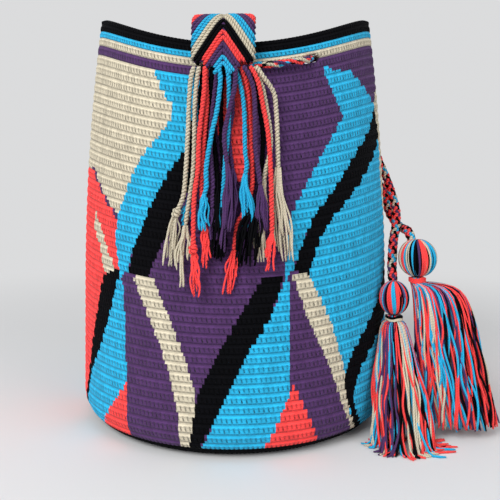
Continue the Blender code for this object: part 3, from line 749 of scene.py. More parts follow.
def lay_threads(name, routes, diameter, sides, yarns, materials, lay=0.0, thickness=None,
                waist=0.66):
    """Threads that follow routes of the same number of points, as one piece.

    A lay gives each thread two lobes that turn round each other once in that length, and
    thickness scales it from point to point.
    """
    routes = np.asarray(routes, dtype=float)
    count, points = routes.shape[0], routes.shape[1]
    bundle = straight_threads(name, count, sides, points - 1)
    mesh = bundle.data
    places = np.empty(len(mesh.vertices) * 3)
    mesh.vertices.foreach_get("co", places)
    places = places.reshape(-1, 3)
    thread = np.rint(places[:, 0] / THREAD_SPACING).astype(int)
    ring = np.rint((places[:, 2] + 0.5) * (points - 1)).astype(int)
    angle = np.arctan2(places[:, 1], places[:, 0] - THREAD_SPACING * thread) / (2 * math.pi)
    run = lengths_along(routes)[thread, ring]
    radius = np.full(len(places), diameter / 2)
    if lay:
        lobes = np.abs(np.cos(2 * math.pi * (angle - run / lay)))
        radius *= waist + (1.0 - waist) * lobes
    if thickness is not None:
        radius *= np.asarray(thickness)[thread, ring]
    radius *= np.where((ring == 0) | (ring == points - 1), END_SHARE, 1.0)
    first, second = cross_frames(routes)
    turn = 2 * math.pi * angle
    places = (
        routes[thread, ring]
        + first[thread, ring] * (radius * np.cos(turn))[:, None]
        + second[thread, ring] * (radius * np.sin(turn))[:, None]
    )
    mesh.vertices.foreach_set("co", places.ravel())
    corners = np.empty(len(mesh.loops), dtype=np.int32)
    mesh.loops.foreach_get("vertex_index", corners)
    starts = np.empty(len(mesh.polygons), dtype=np.int32)
    mesh.polygons.foreach_get("loop_start", starts)
    around = angle[corners]
    highest = np.maximum.reduceat(around, starts)
    highest = np.repeat(highest, np.diff(np.append(starts, len(corners))))
    around = np.where(highest - around > 0.5, around + 1.0, around)
    mesh.uv_layers[0].data.foreach_set("uv", np.column_stack((around, run[corners])).ravel())
    for material in materials:
        mesh.materials.append(material)
    owners = thread[corners[starts]]
    mesh.polygons.foreach_set("material_index", np.asarray(yarns, dtype=np.int32)[owners])
    mesh.polygons.foreach_set("use_smooth", np.ones(len(starts), dtype=bool))
    mesh.update()
    return bundle


def add_twisted_cord(name, route, diameter, yarn, fray_start):
    """One two-ply cord, which is thin from where it frays."""
    length = route_length(route)
    rings = max(8, round(length / CORD_RING))
    points = even_points(route, rings)
    loose = np.linspace(0.0, length, rings + 1) > fray_start
    thickness = np.where(loose, FRAYED_PLY, 1.0)[None]
    return lay_threads(
        name, [points], diameter, 8, [yarn], CORD_YARNS, lay=CORD_LAY, thickness=thickness,
        waist=CORD_WAIST)


def fray_threads(name, route, fray_start, yarn, shape, seed):
    """Loose wavy threads round the frayed end of a cord."""
    count, spread, forward = shape
    chance = random.Random(seed)
    dense = even_points(route, 80)
    length = route_length(route)
    from_part = fray_start / length
    rings = 14
    routes = []
    for _ in range(count):
        turn = chance.uniform(0.0, 2 * math.pi)
        reach = chance.uniform(0.35, 1.0) * spread
        wave = chance.uniform(0.0003, 0.0008)
        waves = chance.uniform(0.8, 1.8)
        offset = chance.uniform(0.0, 2 * math.pi)
        stop = 1.0 + chance.uniform(-0.16, 0.02)
        points = []
        for ring in range(rings + 1):
            part = ring / rings
            place = from_part + (stop - from_part) * part
            index = min(80.0, place * 80.0)
            low = min(79, int(index))
            centre = dense[low] + (dense[low + 1] - dense[low]) * (index - low)
            open_up = (FRAY_OPENED + (1.0 - FRAY_OPENED) * smooth(part * 1.5)) * reach
            sway = wave * math.sin(offset + waves * 2 * math.pi * part) * smooth(part * 3)
            points.append((
                centre[0] + math.cos(turn) * open_up + sway,
                centre[1] + math.sin(turn) * open_up * 0.45 - forward * smooth(part * 2.0),
                centre[2] + 0.3 * sway,
            ))
        routes.append(points)
    return lay_threads(
        name, routes, FRAY_DIAMETER, 5, [yarn] * count, THREAD_YARNS)


def tie_knot(name, centre, along, diameter, yarn):
    """A small overhand knot drawn tight round a cord."""
    axis = Vector(along).normalized()
    side = axis.cross(Vector((0.0, 1.0, 0.3))).normalized()
    other = axis.cross(side)
    points = []
    rings = 30
    for ring in range(rings + 1):
        turn = 2 * math.pi * 1.6 * ring / rings
        lift = (ring / rings - 0.5) * diameter * 1.1 + 0.18 * diameter * math.sin(turn)
        points.append(
            centre + side * math.cos(turn) * diameter * 0.44
            + other * math.sin(turn) * diameter * 0.44 + axis * lift)
    return lay_threads(
        name, [[tuple(point) for point in points]], diameter * 0.82, 8, [yarn], CORD_YARNS,
        lay=CORD_LAY, waist=0.8)


def fringe_route(row, layer, route):
    """A front cord's points, from the strap's end down to its layer on the wall."""
    start = STRAP_STANDOFF + WALL_LAYER / 2 + row * LAYER_PITCH
    hang = WALL_LAYER + (layer - 1) * LAYER_PITCH
    top = STRAP_END_HEIGHT - FRINGE_GAP
    points = []
    for number, (across, height) in enumerate(route):
        z = top if number == 0 else height * MILLIMETRE
        settled = smooth((top - z) / LAYER_SETTLE)
        points.append(front_point(across * MILLIMETRE, z, start + (hang - start) * settled))
    return smooth_route(points, ROUTE_STEP)


def put_on_bag(piece, node=None):
    """Put a piece on the bag, and hide the CAD part that it stands for, where one is named."""
    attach(piece, "root")
    if node:
        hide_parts(node)


def add_fringe_cord(name, route, fray_start, yarn, fray_shape, seed, knot=None):
    """A fringe cord with its frayed end, and a knot where a place and direction are given."""
    cord = add_twisted_cord("twisted_" + name, route, CORD_DIAMETER, yarn, fray_start)
    extras = [fray_threads("frayed_" + name, route, fray_start, yarn, fray_shape, seed)]
    if knot:
        extras.append(tie_knot("knot_" + name, *knot, CORD_DIAMETER, yarn))
    put_on_bag(cord, name)
    for extra in extras:
        put_on_bag(extra)


def add_front_fringe():
    """The cords below the strap's front end, two of them knotted, with frayed ends."""
    for number, (yarn, row, layer, fray_height, guide) in enumerate(FRONT_FRINGE, 1):
        route = fringe_route(row, layer, guide)
        before = [point for point in route if point.z > fray_height * MILLIMETRE]
        knot = None
        if number in KNOTTED_CORDS:
            knot = (before[-1], route[len(before)] - route[len(before) - 2])
        add_fringe_cord(
            f"fringe_front_{number:02d}", route, route_length(before), yarn,
            FRAY_SHAPES.get(number, FRAY_SHAPE), 300 + number, knot)


def add_back_fringe():
    """The cords below the strap's back end."""
    pitch = (STRAP_WIDTH - FRINGE_DIAMETER) / (BACK_FRINGE_COUNT - 1)
    start = STRAP_STANDOFF + STRAP_THICKNESS / 2
    for number in range(BACK_FRINGE_COUNT):
        across = STRAP_X - STRAP_WIDTH / 2 + FRINGE_DIAMETER / 2 + pitch * number
        sway = BACK_FRINGE_WAVE * math.sin(number * 2.4)
        points = []
        for part in (0.0, 0.15, 0.4, 0.7, 1.0):
            z = STRAP_END_HEIGHT - FRINGE_GAP - BACK_FRINGE_LENGTH * part
            settled = smooth(part * BACK_FRINGE_LENGTH / LAYER_SETTLE)
            offset = start + (WALL_LAYER - start) * settled
            point = front_point(across + sway * part, z, offset)
            points.append(Vector((point.x, -point.y, point.z)))
        route = smooth_route(points, ROUTE_STEP)
        add_fringe_cord(
            f"fringe_back_{number + 1:02d}", route,
            route_length(route) * (0.72 + 0.04 * math.sin(number * 1.7)),
            BACK_FRINGE_COLOURS[number % len(BACK_FRINGE_COLOURS)], BACK_FRAY_SHAPE,
            500 + number)


# Drawstring, tails and tassels

def string_point(degrees, side):
    """A point on the drawstring's route, outside the wall, inside it or in an eyelet."""
    reach = STRING_GAP + STRING_DIAMETER / 2
    offsets = {1: ROW_RELIEF + reach, 0: (ROW_RELIEF - WALL) / 2, -1: -WALL - reach}
    return wall_point(math.radians(degrees), BAG_HEIGHT - EYELET_DROP, offsets[side])


def hanging_point(degrees, drop):
    """A point on a tail that hangs down the wall, below the eyelets' level."""
    offset = ROW_RELIEF + STRING_GAP + TAIL_DIAMETER / 2
    return wall_point(math.radians(degrees), BAG_HEIGHT - EYELET_DROP - drop, offset)


def string_end(degrees, turn):
    """The end of the drawstring, which turns down outside the wall after an eyelet."""
    return [
        string_point(degrees + turn * STRING_TURN_ANGLE / 3, 1),
        hanging_point(degrees + turn * STRING_TURN_ANGLE, STRING_DIAMETER),
        hanging_point(degrees + turn * STRING_TURN_ANGLE, STRING_END_DROP),
    ]


def crossing_angle():
    """Half the angle, in degrees, that the drawstring takes to pass through an eyelet."""
    return math.degrees(CROSSING_RUN / 2 / MOUTH_RADIUS)


def string_route():
    """The drawstring's points, in and out through all the eyelets round the bag."""
    passing = crossing_angle()
    knots = []
    side = 1
    for number, eyelet in enumerate(EYELETS):
        knots += [(eyelet + passing, side), (eyelet, 0), (eyelet - passing, -side)]
        side = -side
        if number + 1 == len(EYELETS):
            continue
        start = eyelet - 1.7 * passing
        end = EYELETS[number + 1] + 1.7 * passing
        knots.append((start, side))
        steps = max(1, round((start - end) / STRING_KNOT_SPACING))
        knots += [(start + (end - start) * step / steps, side) for step in range(1, steps + 1)]
    middle = [string_point(degrees, place) for degrees, place in knots]
    first = string_end(EYELETS[0] + passing, 1)
    last = string_end(EYELETS[-1] - passing, -1)
    return smooth_route(first[::-1] + middle + last, ROUTE_STEP)


def plait_cord(name, route, diameter, yarns):
    """A round plait: half the strands wind one way, half the other, over and under."""
    length = route_length(route)
    rings = round(length / 0.0011)
    middle = even_points(route, rings)
    first, second = cross_frames(middle[None])
    along = np.linspace(0.0, length, rings + 1)
    pitch = diameter * 4.5
    strand = diameter * (0.47 if len(yarns) < 8 else 0.40)
    orbit = (diameter - strand) / 2
    routes = []
    half = len(yarns) // 2
    for number in range(len(yarns)):
        way = 1 if number < half else -1
        turn = way * 2 * math.pi * along / pitch + 2 * math.pi * (number % half) / half
        weave = 1.0 + way * 0.16 * np.cos(half * (2 * math.pi * along / pitch))
        reach = orbit * weave
        routes.append(
            middle + first[0] * (reach * np.cos(turn))[:, None]
            + second[0] * (reach * np.sin(turn))[:, None])
    return lay_threads(name, routes, strand, 7, yarns, CORD_YARNS)


def tail_route(tassel):
    """A tail's points, from the drawstring's end to its tassel's head."""
    degrees = tassel.eyelet + tassel.way * (crossing_angle() + STRING_TURN_ANGLE)
    points = [
        hanging_point(degrees, STRING_END_DROP + drop) for drop in (TAIL_GAP, 2 * TAIL_DIAMETER)]
    points += [Vector(point) for point in tassel.route]
    ray = (points[-1] - tassel.head).normalized()
    reach = 1 / math.sqrt(
        (ray.x ** 2 + ray.y ** 2) / tassel.radius ** 2 + (2 * ray.z / tassel.height) ** 2)
    points.append(tassel.head + ray * (reach + SEAT_GAP))
    return smooth_route(points, ROUTE_STEP)


def clumped_yarns(sectors, count, chance, longest, mixed):
    """A yarn for each thread, in runs of one yarn, a share of them from elsewhere."""
    yarns = []
    while len(yarns) < count:
        clump = sectors[len(yarns) * len(sectors) // count]
        if chance.random() < mixed:
            clump = chance.choice(sectors)
        yarns += [clump] * chance.randint(1, longest)
    return yarns[:count]


def add_head(tassel):
    """A tassel's head: threads drawn down over a ball."""
    chance = random.Random(tassel.seed)
    rings = 16
    routes = []
    yarns = clumped_yarns(tassel.head_yarns, HEAD_THREADS, chance, *HEAD_CLUMPS)
    for number in range(HEAD_THREADS):
        around = 2 * math.pi * number / HEAD_THREADS + chance.uniform(-0.03, 0.03)
        swell = chance.uniform(-0.0003, 0.0005)
        drift = chance.uniform(0.0, 0.3)
        points = []
        for ring in range(rings + 1):
            polar = math.radians(7.0 + 158.0 * ring / rings)
            bulge = (tassel.radius - HEAD_THREAD * 0.45 + swell) * math.sin(polar) ** 0.92
            rise = (tassel.height / 2 - HEAD_THREAD * 0.3) * math.cos(polar)
            points.append(
                aside(tassel.head, around + drift * (ring / rings), bulge, bulge, rise))
        routes.append(points)
    threads = lay_threads(
        "threads_tassel_head_" + tassel.suffix, routes, HEAD_THREAD, 6, yarns, THREAD_YARNS)
    deselect_all()
    bpy.ops.mesh.primitive_ico_sphere_add(subdivisions=3, radius=1.0)
    core = bpy.context.object
    core.name = "core_tassel_head_" + tassel.suffix
    wide = tassel.radius - HEAD_THREAD * 0.8
    tall = tassel.height / 2 - HEAD_THREAD * 0.6
    for vertex in core.data.vertices:
        vertex.co = tassel.head + vertex.co * Vector((wide, wide, tall))
    core.data.shade_smooth()
    core.data.materials.append(THREAD_YARNS[BLACK])
    return threads, core


def neck_top(tassel):
    """Where a tassel's neck starts, below its head."""
    return tassel.head - Vector((0.0, 0.0, tassel.height / 2 + SEAT_GAP))


def add_tie(tassel):
    """Thread wound round the tassel's neck."""
    rings = 60
    reach = NECK_RADIUS + TIE_THREAD * 0.45
    routes = []
    for number in range(len(tassel.tie_yarns)):
        points = []
        for ring in range(rings + 1):
            turn = 2 * math.pi * TIE_TURNS * ring / rings + number * 1.3
            wound = (number + ring / rings) / len(tassel.tie_yarns)
            rise = 0.0004 * math.sin(turn * 3) - NECK_LENGTH * (0.10 + 0.8 * wound)
            points.append(aside(neck_top(tassel), turn, reach, reach, rise))
        routes.append(points)
    return lay_threads(
        "wraps_tassel_tie_" + tassel.suffix, routes, TIE_THREAD * 1.25, 7, tassel.tie_yarns,
        THREAD_YARNS)


def add_skirt(tassel):
    """A tassel's skirt: wavy threads from the neck, over the shoulder, to the floor."""
    chance = random.Random(tassel.seed + 50)
    top = neck_top(tassel)
    foot = top - Vector((0.0, 0.0, NECK_LENGTH))
    shoulder = foot + tassel.shoulder
    middle_reach = [
        start + (end - start) * 0.62 for start, end in zip(tassel.shoulder_reach, tassel.spread)]
    levels = (
        (top, NECK_RADIUS, NECK_RADIUS), (foot, NECK_RADIUS, NECK_RADIUS),
        (shoulder, *tassel.shoulder_reach), (shoulder.lerp(tassel.end, 0.5), *middle_reach),
        (tassel.end, *tassel.spread),
    )
    rings = 24
    lowest = SKIRT_THREAD * 0.55
    shift = tassel.seed % 7
    yarns = clumped_yarns(
        SKIRT_YARNS[shift:] + SKIRT_YARNS[:shift], tassel.threads, chance, *SKIRT_CLUMPS)
    routes = []
    for number in range(tassel.threads):
        around = 2 * math.pi * (number + chance.uniform(-0.5, 0.5)) / tassel.threads
        depth = 0.95 if number % 3 else chance.uniform(0.45, 0.85)
        short = tassel.clear + chance.uniform(0.0, 0.055)
        wave = chance.uniform(0.0008, 0.0026)
        waves = chance.uniform(0.8, 2.4)
        offset = chance.uniform(0.0, 2 * math.pi)
        stray = chance.gauss(0.0, 0.09)
        guide = []
        for level, (centre, reach_x, reach_y) in enumerate(levels):
            reach = depth if level > 1 else min(0.97, depth + 0.1)
            guide.append(Vector(aside(
                centre, around + stray * level, (reach_x - SKIRT_THREAD / 2) * reach,
                (reach_y - SKIRT_THREAD / 2) * reach, 0.0)))
        guide[-1] = guide[-2].lerp(guide[-1], 1.0 - short)
        if not tassel.clear:
            run = chance.uniform(0.0, FLOOR_RUN)
            out = aside(guide[-1], around + stray * len(levels), run, run * 0.6, -0.004)
            guide.append(Vector(out) + Vector((0.35 * run, 0.0, 0.0)))
        guide[-1].z = max(guide[-1].z, lowest)
        points = even_points(smooth_route(guide, ROUTE_STEP), rings)
        for ring in range(rings + 1):
            part = ring / rings
            swing = wave * smooth((part - 0.15) * 2.0)
            points[ring, 0] += swing * math.sin(offset + waves * 2 * math.pi * part)
            points[ring, 1] += swing * math.cos(offset * 1.7 + waves * 5.0 * part)
            points[ring, 2] = max(points[ring, 2], lowest)
        routes.append(points)
    return lay_threads(
        "threads_tassel_skirt_" + tassel.suffix, routes, SKIRT_THREAD, 5, yarns, THREAD_YARNS)


def add_tassel(tassel):
    """All of one tassel's pieces."""
    threads, core = add_head(tassel)
    tie = add_tie(tassel)
    skirt = add_skirt(tassel)
    put_on_bag(threads, "tassel_head_" + tassel.suffix)
    put_on_bag(core)
    put_on_bag(skirt, "tassel_skirt_" + tassel.suffix)
    put_on_bag(tie, "tassel_tie_" + tassel.suffix)
    return [threads, core, tie, skirt]


def add_tails():
    """Both tails of the drawstring, each with its tassel."""
    for tassel, pieces in [(tassel, add_tassel(tassel)) for tassel in TASSELS]:
        route = tail_route(tassel)
        tail = plait_cord("plaited_tail_" + tassel.suffix, route, TAIL_DIAMETER, TAIL_YARNS)
        put_on_bag(tail, "drawstring_tail_" + tassel.suffix)


def add_drawstring():
    """The threaded stretch of the drawstring."""
    ring = plait_cord("plaited_drawstring", string_route(), STRING_DIAMETER, STRING_YARNS)
    put_on_bag(ring, "drawstring")


# Crocheted wall

def inside_outline(across, down, outline):
    """Which of the given stitches lie in an outline."""
    inside = np.zeros(across.shape, dtype=bool)
    for (x1, y1), (x2, y2) in zip(outline, outline[1:] + outline[:1]):
        if y1 == y2:
            continue
        crosses = (y1 > down) != (y2 > down)
        inside ^= crosses & (across < (x2 - x1) * (down - y1) / (y2 - y1) + x1)
    return inside


def heights_before_sag(rows, angle):
    """Heights before the rim sags, of rows that are evenly tall once it has."""
    even = rows - RIM_TIGHTENING * smooth(rows / TIGHT_ROWS)
    rim = BAG_HEIGHT - RIM_SAG * np.cos(angle) ** 2
    final = rim - (rim - BASE_CURVE) * even / (WALL_ROWS - RIM_TIGHTENING)
    return unsagged_height(final, angle)


def wall_yarns(across, down):
    """The yarn of each stitch, from its place in stitches and rows."""
    yarns = np.full(across.shape, PURPLE, dtype=np.int32)
    height = heights_before_sag(np.minimum(down, WALL_ROWS), across * 2 * math.pi / STITCHES)
    drawn = (BAG_HEIGHT - height) / (BAG_HEIGHT - BASE_CURVE) * WALL_ROWS
    drawn = np.maximum(np.where(down < WALL_ROWS, drawn, down), PATTERN_TOP)
    for yarn, outline in PATTERN:
        for repeat in (-PATTERN_REPEAT, 0, PATTERN_REPEAT):
            yarns[inside_outline(across - repeat, drawn, outline)] = yarn
    for band, yarn in enumerate(RIM_BANDS):
        top = band + HALF_ROW if band else -1.0
        yarns[(down >= top) & (down < band + 1 + HALF_ROW)] = yarn
    yarns[down > SIDE_ROWS - BLACK_FOOT_ROWS] = BLACK
    base = down > SIDE_ROWS
    rounds = np.floor(down[base] - SIDE_ROWS).astype(int)
    yarns[base] = np.array(BASE_YARNS)[np.minimum(rounds, len(BASE_YARNS) - 1)]
    return yarns


def outer_ring(rows):
    """Radius, height and the direction outwards of a place on the outside, in rows.

    On the upright wall only the direction counts: radius and height follow the hanging rows.
    """
    flat = BAG_RADIUS - BASE_CURVE
    if rows <= WALL_ROWS:
        return 0.0, 0.0, 1.0, 0.0
    if rows <= SIDE_ROWS:
        turn = math.pi / 2 * (rows - WALL_ROWS) / CURVE_ROWS
        out, down = math.cos(turn), math.sin(turn)
        return flat + BASE_CURVE * out, BASE_CURVE * (1.0 - down), out, -down
    return flat * max(0.0, 1.0 - (rows - SIDE_ROWS) / BASE_ROUNDS), 0.0, 0.0, -1.0


def wall_rings():
    """Rings of the bag's section, inside from the base up, then outside down to the base.

    Each ring is (radius, height, out, up, rows, relief, whether it hangs from the rim). The
    radius and height of one that hangs come from its rows.
    """
    rings = []
    for rounds in range(BASE_ROUNDS, 0, -5):
        radius = outer_ring(SIDE_ROWS + rounds)[0]
        rings.append((radius, WALL, 0.0, 1.0, SIDE_ROWS + rounds, 0.0, 0.0))
    for rows in list(range(SIDE_ROWS, 4, -1)) + [4.0, 3.5, 3.0, 2.5, 2.0, 1.5, 1.0]:
        radius, height, out, up = outer_ring(rows)
        relief = INNER_RELIEF * math.sin(math.pi * ((rows - HALF_ROW) % 1.0))
        rings.append((
            radius - WALL * out, height - WALL * up, -out, -up, rows, relief,
            float(rows <= WALL_ROWS)))
    rings += [
        (MOUTH_RADIUS - WALL * depth, BAG_HEIGHT - WALL * drop, out, up, rows, relief, 0.0)
        for depth, drop, out, up, rows, relief in RIM_SECTION]
    for step in range(3 * SIDE_ROWS):
        rows = HALF_ROW + (step - 1) / 3 if step else 0.08
        rings.append((
            *outer_ring(rows), rows, ROW_SECTION[(step - 1) % 3], float(rows <= WALL_ROWS)))
    for rounds in range(1, BASE_ROUNDS + 1):
        radius, height, _, _ = outer_ring(SIDE_ROWS + rounds)
        rings.append((radius, height, 0.0, 1.0, SIDE_ROWS + rounds, 0.4, 0.0))
    return rings


def in_eyelet(across, down):
    """Which places of the wall lie in an eyelet."""
    inside = np.zeros(across.shape, dtype=bool)
    for degrees in EYELETS:
        turn = math.radians(degrees)
        rim = wall_point(turn, BAG_HEIGHT, 0.0).z
        depth = (rim - wall_point(turn, BAG_HEIGHT - EYELET_DROP, 0.0).z) / (rim - BASE_CURVE)
        row_centre = depth * (WALL_ROWS - RIM_TIGHTENING) + RIM_TIGHTENING
        centre = degrees / 360 * STITCHES
        away = (across - centre + STITCHES / 2) % STITCHES - STITCHES / 2
        inside |= (away / EYELET_STITCHES) ** 2 + ((down - row_centre) / EYELET_ROWS) ** 2 < 1.0
    return inside


def add_wall():
    """The crocheted bag, stitch by stitch, with its pattern and open eyelets."""
    rings = wall_rings()
    columns = 2 * STITCHES
    deselect_all()
    bpy.ops.mesh.primitive_grid_add(
        x_subdivisions=columns, y_subdivisions=len(rings) - 1, size=1.0)
    wall = bpy.context.object
    wall.name = "crocheted_bag"
    mesh = wall.data
    places = np.empty(len(mesh.vertices) * 3)
    mesh.vertices.foreach_get("co", places)
    places = places.reshape(-1, 3)
    column = np.rint((places[:, 0] + 0.5) * columns).astype(int)
    level = np.rint((places[:, 1] + 0.5) * (len(rings) - 1)).astype(int)
    table = np.array(rings)
    radius, height, out, up, rows, relief, hangs = table[level].T
    angle = (column / columns - 0.5) * 2 * math.pi
    hung = heights_before_sag(np.minimum(rows, WALL_ROWS), angle)
    radius = np.where(hangs > 0, wall_radius(hung) + np.minimum(out, 0.0) * WALL, radius)
    height = np.where(hangs > 0, hung, height)
    row_number = np.floor(rows - HALF_ROW).astype(int)
    crest = (column + row_number) % 2
    lift = relief * ROW_RELIEF * (0.62 + 0.38 * crest)
    radius = np.maximum(0.0, radius + out * lift)
    height = np.maximum(0.0, height + up * lift)
    places = np.column_stack((
        radius * np.sin(angle), -radius * np.cos(angle), height - sag(height, angle)))
    mesh.vertices.foreach_set("co", places.ravel())

    corners = np.empty(len(mesh.loops), dtype=np.int32)
    mesh.loops.foreach_get("vertex_index", corners)
    stitch_map = np.column_stack((column / 2 - STITCHES / 2, rows - HALF_ROW))
    mesh.uv_layers[0].data.foreach_set("uv", stitch_map[corners].ravel())
    face_places = stitch_map[corners].reshape(-1, 4, 2).mean(axis=1)
    face_row = np.floor(face_places[:, 1])
    tooth = face_row + 0.5 + EDGE_SLANT * (face_places[:, 1] - face_row - 0.5)
    yarns = wall_yarns(face_places[:, 0], tooth + HALF_ROW)
    for material in CROCHET_YARNS:
        mesh.materials.append(material)
    mesh.polygons.foreach_set("material_index", yarns)
    mesh.polygons.foreach_set("use_smooth", np.ones(len(mesh.polygons), dtype=bool))

    opened = in_eyelet(face_places[:, 0], face_places[:, 1] + HALF_ROW)
    shape = bmesh.new()
    shape.from_mesh(mesh)
    shape.faces.ensure_lookup_table()
    bmesh.ops.delete(
        shape, geom=[shape.faces[i] for i in np.flatnonzero(opened)], context="FACES")
    bmesh.ops.remove_doubles(shape, verts=shape.verts, dist=0.00001)
    for degrees in EYELETS:
        turn = math.radians(degrees)
        centre = wall_point(turn, BAG_HEIGHT - EYELET_DROP, -WALL / 2)
        edges = [
            edge for edge in shape.edges
            if edge.is_boundary and (edge.verts[0].co - centre).length < EYELET_REACH]
        bmesh.ops.bridge_loops(shape, edges=edges)
    bmesh.ops.recalc_face_normals(shape, faces=shape.faces)
    shape.to_mesh(mesh)
    shape.free()
    put_on_bag(wall, "bag_body")


# Strap

def strap_side(y_sign):
    """Half of the strap's middle line, from its fringed end to the base's edge, as (y, z)."""
    outside = STRAP_STANDOFF + STRAP_THICKNESS / 2
    inside = -WALL - STRAP_STANDOFF - STRAP_THICKNESS / 2
    resting = -WALL - STRAP_INSIDE_GAP - STRAP_THICKNESS / 2
    end_height = unsagged_height(STRAP_END_HEIGHT, 0.0)
    over_rim = BAG_HEIGHT - EYELET_DROP / 2
    line = [
        wall_point(0.0, end_height, outside),
        wall_point(0.0, (end_height + over_rim) / 2, outside),
        wall_point(0.0, over_rim, outside),
    ]
    rim = wall_point(0.0, BAG_HEIGHT, -WALL / 2)
    fold = (outside - inside) / 2
    for turn in (10.0, 40.0, 65.0, 90.0, 115.0, 140.0, 170.0):
        angle = math.radians(turn)
        line.append(rim + Vector((
            0.0,
            -fold * math.cos(angle),
            FOLD_RISE * math.sin(angle),
        )))
    line.append(wall_point(0.0, over_rim, inside))
    drop = BAG_HEIGHT - 3 * EYELET_DROP
    line.append(wall_point(0.0, (over_rim + drop) / 2, inside))
    steps = 5
    for step in range(steps):
        height = drop + (2 * BASE_CURVE - drop) * step / (steps - 1)
        line.append(wall_point(0.0, height, resting))
    return [(point.y * y_sign, point.z) for point in line]


def strap_line():
    """The strap's middle line from its front end to its back end."""
    rest = WALL + STRAP_INSIDE_GAP + STRAP_THICKNESS / 2
    edge = BAG_RADIUS - BASE_CURVE
    flap_end = edge - FLAP_INSET
    flap_start = flap_end - FLAP_LENGTH
    top = rest + 2 * FLAP_PITCH
    bend = FLAP_PITCH / 2
    line = strap_side(1.0)
    line += [(-edge - past, rest + above) for past, above in FRONT_TURN]
    line += [(-edge / 2, rest), (0.0, rest)]
    for fold, (centre, way) in enumerate(((flap_end - bend, 1), (flap_start + bend, -1))):
        foot = rest + fold * FLAP_PITCH
        for turn in (0.0, 45.0, 90.0, 135.0, 180.0):
            angle = math.radians(turn)
            line.append((
                centre + way * bend * math.sin(angle), foot + bend - bend * math.cos(angle)))
        line.append(((flap_start + flap_end) / 2, foot + FLAP_PITCH))
    line += [(edge + past, top + above) for past, above in BACK_TURN]
    return line + [point for point in strap_side(-1.0)[::-1] if point[1] > top + BACK_RISE]


class StrapSurface:
    """Places on the strap, by the length along it, the width across it and the height."""

    def __init__(self):
        route = smooth_route([Vector((0.0, y, z)) for y, z in strap_line()], ROUTE_STEP)
        points = np.array([tuple(point) for point in route])
        self.marks = lengths_along(points)
        self.length = self.marks[-1]
        self.y, self.z = points[:, 1], points[:, 2]
        self.slope_y = np.gradient(self.y, self.marks)
        self.slope_z = np.gradient(self.z, self.marks)

    def places(self, along, across, lift):
        """Points, as an array, for arrays of lengths, widths and heights off the middle."""
        before = np.minimum(along, 0.0)
        y, z, tangent_y, tangent_z = (
            np.interp(along, self.marks, values)
            for values in (self.y, self.z, self.slope_y, self.slope_z))
        y = y + before * self.slope_y[0]
        z = z + before * self.slope_z[0]
        size = np.hypot(tangent_y, tangent_z)
        normal_y, normal_z = -tangent_z / size, tangent_y / size
        x = STRAP_X + across
        hug = smooth((np.abs(y) - 0.045) / 0.035)
        rounded = np.sign(y) * np.sqrt(np.maximum(0.0, y ** 2 - x ** 2))
        y = y + (rounded - y) * hug
        lean = hug * x / np.maximum(0.03, np.hypot(x, y)) * np.sign(y)
        return np.column_stack((
            x + lift * normal_y * lean, y + lift * normal_y, z + lift * normal_z))


def add_plait(surface):
    """Slanting cords on both faces of the strap, which meet in chevrons."""
    half = STRAP_WIDTH / 2
    edge = half - PLAIT_CORD * 0.45
    layer = (STRAP_THICKNESS - PLAIT_CORD) / 2
    part = np.linspace(0.0, 1.0, 13)
    routes = []
    yarns = []
    for number in range(int((surface.length + half * PLAIT_LEAN) / PLAIT_PITCH) + 1):
        apex = PLAIT_PITCH * (number + 0.4)
        yarn = PLAIT_SEQUENCE[(number // 2) % len(PLAIT_SEQUENCE)]
        for side in (-1.0, 1.0):
            start = -0.10 * half if (number % 2 == 0) == (side > 0) else 0.02 * half
            for face in (-1.0, 1.0):
                width = start + (edge - start) * part
                along = apex - np.abs(width) * PLAIT_LEAN
                first = np.interp(np.abs(width), TONGUE_WIDTHS, TONGUE_REACH) * (face > 0)
                inside = (along >= -first) & (along <= surface.length)
                if inside.sum() < 3:
                    continue
                width = np.linspace(width[inside].min(), width[inside].max(), len(part))
                along = apex - np.abs(width) * PLAIT_LEAN
                turn_over = np.clip((edge - width) / (PLAIT_CORD * 0.9), 0.0, 1.0)
                tuck = 1.0 - 0.55 * np.clip(1.0 - width / (0.10 * half), 0.0, 1.0)
                lift = face * layer * np.sqrt(turn_over) * tuck
                lift += TONGUE_LIFT * np.clip(-along / 0.004, 0.0, 1.0)
                routes.append(surface.places(along, side * width, lift))
                yarns.append(yarn)
    return lay_threads("plaited_strap", routes, PLAIT_CORD, 6, yarns, CORD_YARNS)


def add_strap():
    """The plaited strap, over a thin core."""
    surface = StrapSurface()
    plait = add_plait(surface)
    deselect_all()
    bpy.ops.mesh.primitive_grid_add(
        x_subdivisions=6, y_subdivisions=round(surface.length / 0.006), size=1.0)
    core = bpy.context.object
    core.name = "strap_core"
    places = np.array([tuple(vertex.co) for vertex in core.data.vertices])
    along = (places[:, 1] + 0.5) * (surface.length - 0.004) + 0.002
    moved = surface.places(along, places[:, 0] * (STRAP_WIDTH - 0.005), np.zeros(len(along)))
    core.data.vertices.foreach_set("co", moved.ravel())
    thick = core.modifiers.new("core thickness", "SOLIDIFY")
    thick.thickness = STRAP_CORE
    thick.offset = 0.0
    bpy.ops.object.modifier_apply(modifier=thick.name)
    core.data.materials.append(CORD_YARNS[PURPLE])
    core.data.shade_smooth()
    put_on_bag(plait, "strap")
    put_on_bag(core)


# Scene

def set_camera():
    """A level camera in front of the bag, its frame shifted down to the floor."""
    camera = bpy.data.cameras.new("camera")
    camera.sensor_width = 36.0
    camera.lens = CAMERA_LENS
    camera.shift_y = CAMERA_SHIFT
    camera.clip_start = 0.01
    camera.clip_end = 50.0
    holder = bpy.data.objects.new("camera", camera)
    bpy.context.scene.collection.objects.link(holder)
    holder.location = CAMERA_PLACE
    holder.rotation_euler = (math.radians(90.0), 0.0, 0.0)
    bpy.context.scene.camera = holder


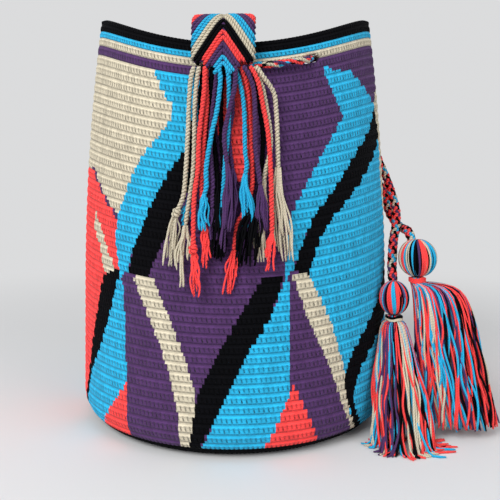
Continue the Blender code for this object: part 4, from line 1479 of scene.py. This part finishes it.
def add_lamp(name, place, target, power, size):
    """A square soft box aimed at a point."""
    lamp = bpy.data.lights.new(name, "AREA")
    lamp.energy = power
    lamp.size = size
    holder = bpy.data.objects.new(name, lamp)
    bpy.context.scene.collection.objects.link(holder)
    holder.location = place
    aim = Vector(target) - Vector(place)
    holder.rotation_euler = aim.to_track_quat("-Z", "Y").to_euler()


def fade_into_distance(tree, shader):
    """Turn the far floor into the colour that the camera sees behind it."""
    place = tree.nodes.new("ShaderNodeTexCoord").outputs["Object"]
    distance = add_node(tree, "ShaderNodeVectorMath", "LENGTH", Vector=place)
    rays = tree.nodes.new("ShaderNodeLightPath").outputs
    glow = add_node(
        tree, "ShaderNodeEmission", Color=BACKGROUND,
        Strength=Signal(rays["Is Camera Ray"]).scale(BACKGROUND_GAIN, AMBIENT_LIGHT))
    mix = tree.nodes.new("ShaderNodeMixShader")
    far = Signal(distance.outputs["Value"]).ease(*FLOOR_FADE)
    for socket, value in zip(mix.inputs, (far, shader.outputs[0], glow.outputs[0])):
        feed(socket, value)
    feed(tree.nodes["Material Output"].inputs["Surface"], mix.outputs[0])


def set_stage():
    """Pale floor, pale surroundings and soft lamps."""
    scene = bpy.context.scene
    scene.view_settings.view_transform = "Standard"
    scene.world = bpy.data.worlds.new("studio")
    scene.world.use_nodes = True
    tree = scene.world.node_tree
    rays = tree.nodes.new("ShaderNodeLightPath").outputs
    seen = Signal(rays["Is Camera Ray"]).apply("MAXIMUM", Signal(
        rays["Is Glossy Ray"]).apply("MAXIMUM", rays["Is Transmission Ray"]))
    background = tree.nodes["Background"].inputs
    feed(background["Color"], BACKGROUND)
    feed(background["Strength"], seen.scale(BACKGROUND_GAIN, AMBIENT_LIGHT))
    for lamp in LAMPS:
        add_lamp(*lamp)
    deselect_all()
    bpy.ops.mesh.primitive_plane_add(size=12.0)
    floor = bpy.context.object
    floor.name = "floor"
    paint = bpy.data.materials.new("pale floor")
    paint.use_nodes = True
    shader = paint.node_tree.nodes["Principled BSDF"]
    shader.inputs["Base Color"].default_value = FLOOR_COLOUR
    shader.inputs["Roughness"].default_value = 0.85
    shader.inputs["Specular IOR Level"].default_value = 0.1
    fade_into_distance(paint.node_tree, shader)
    floor.data.materials.append(paint)


set_camera()
add_front_fringe()
add_back_fringe()
add_tails()
add_drawstring()
add_wall()
add_strap()
set_stage()
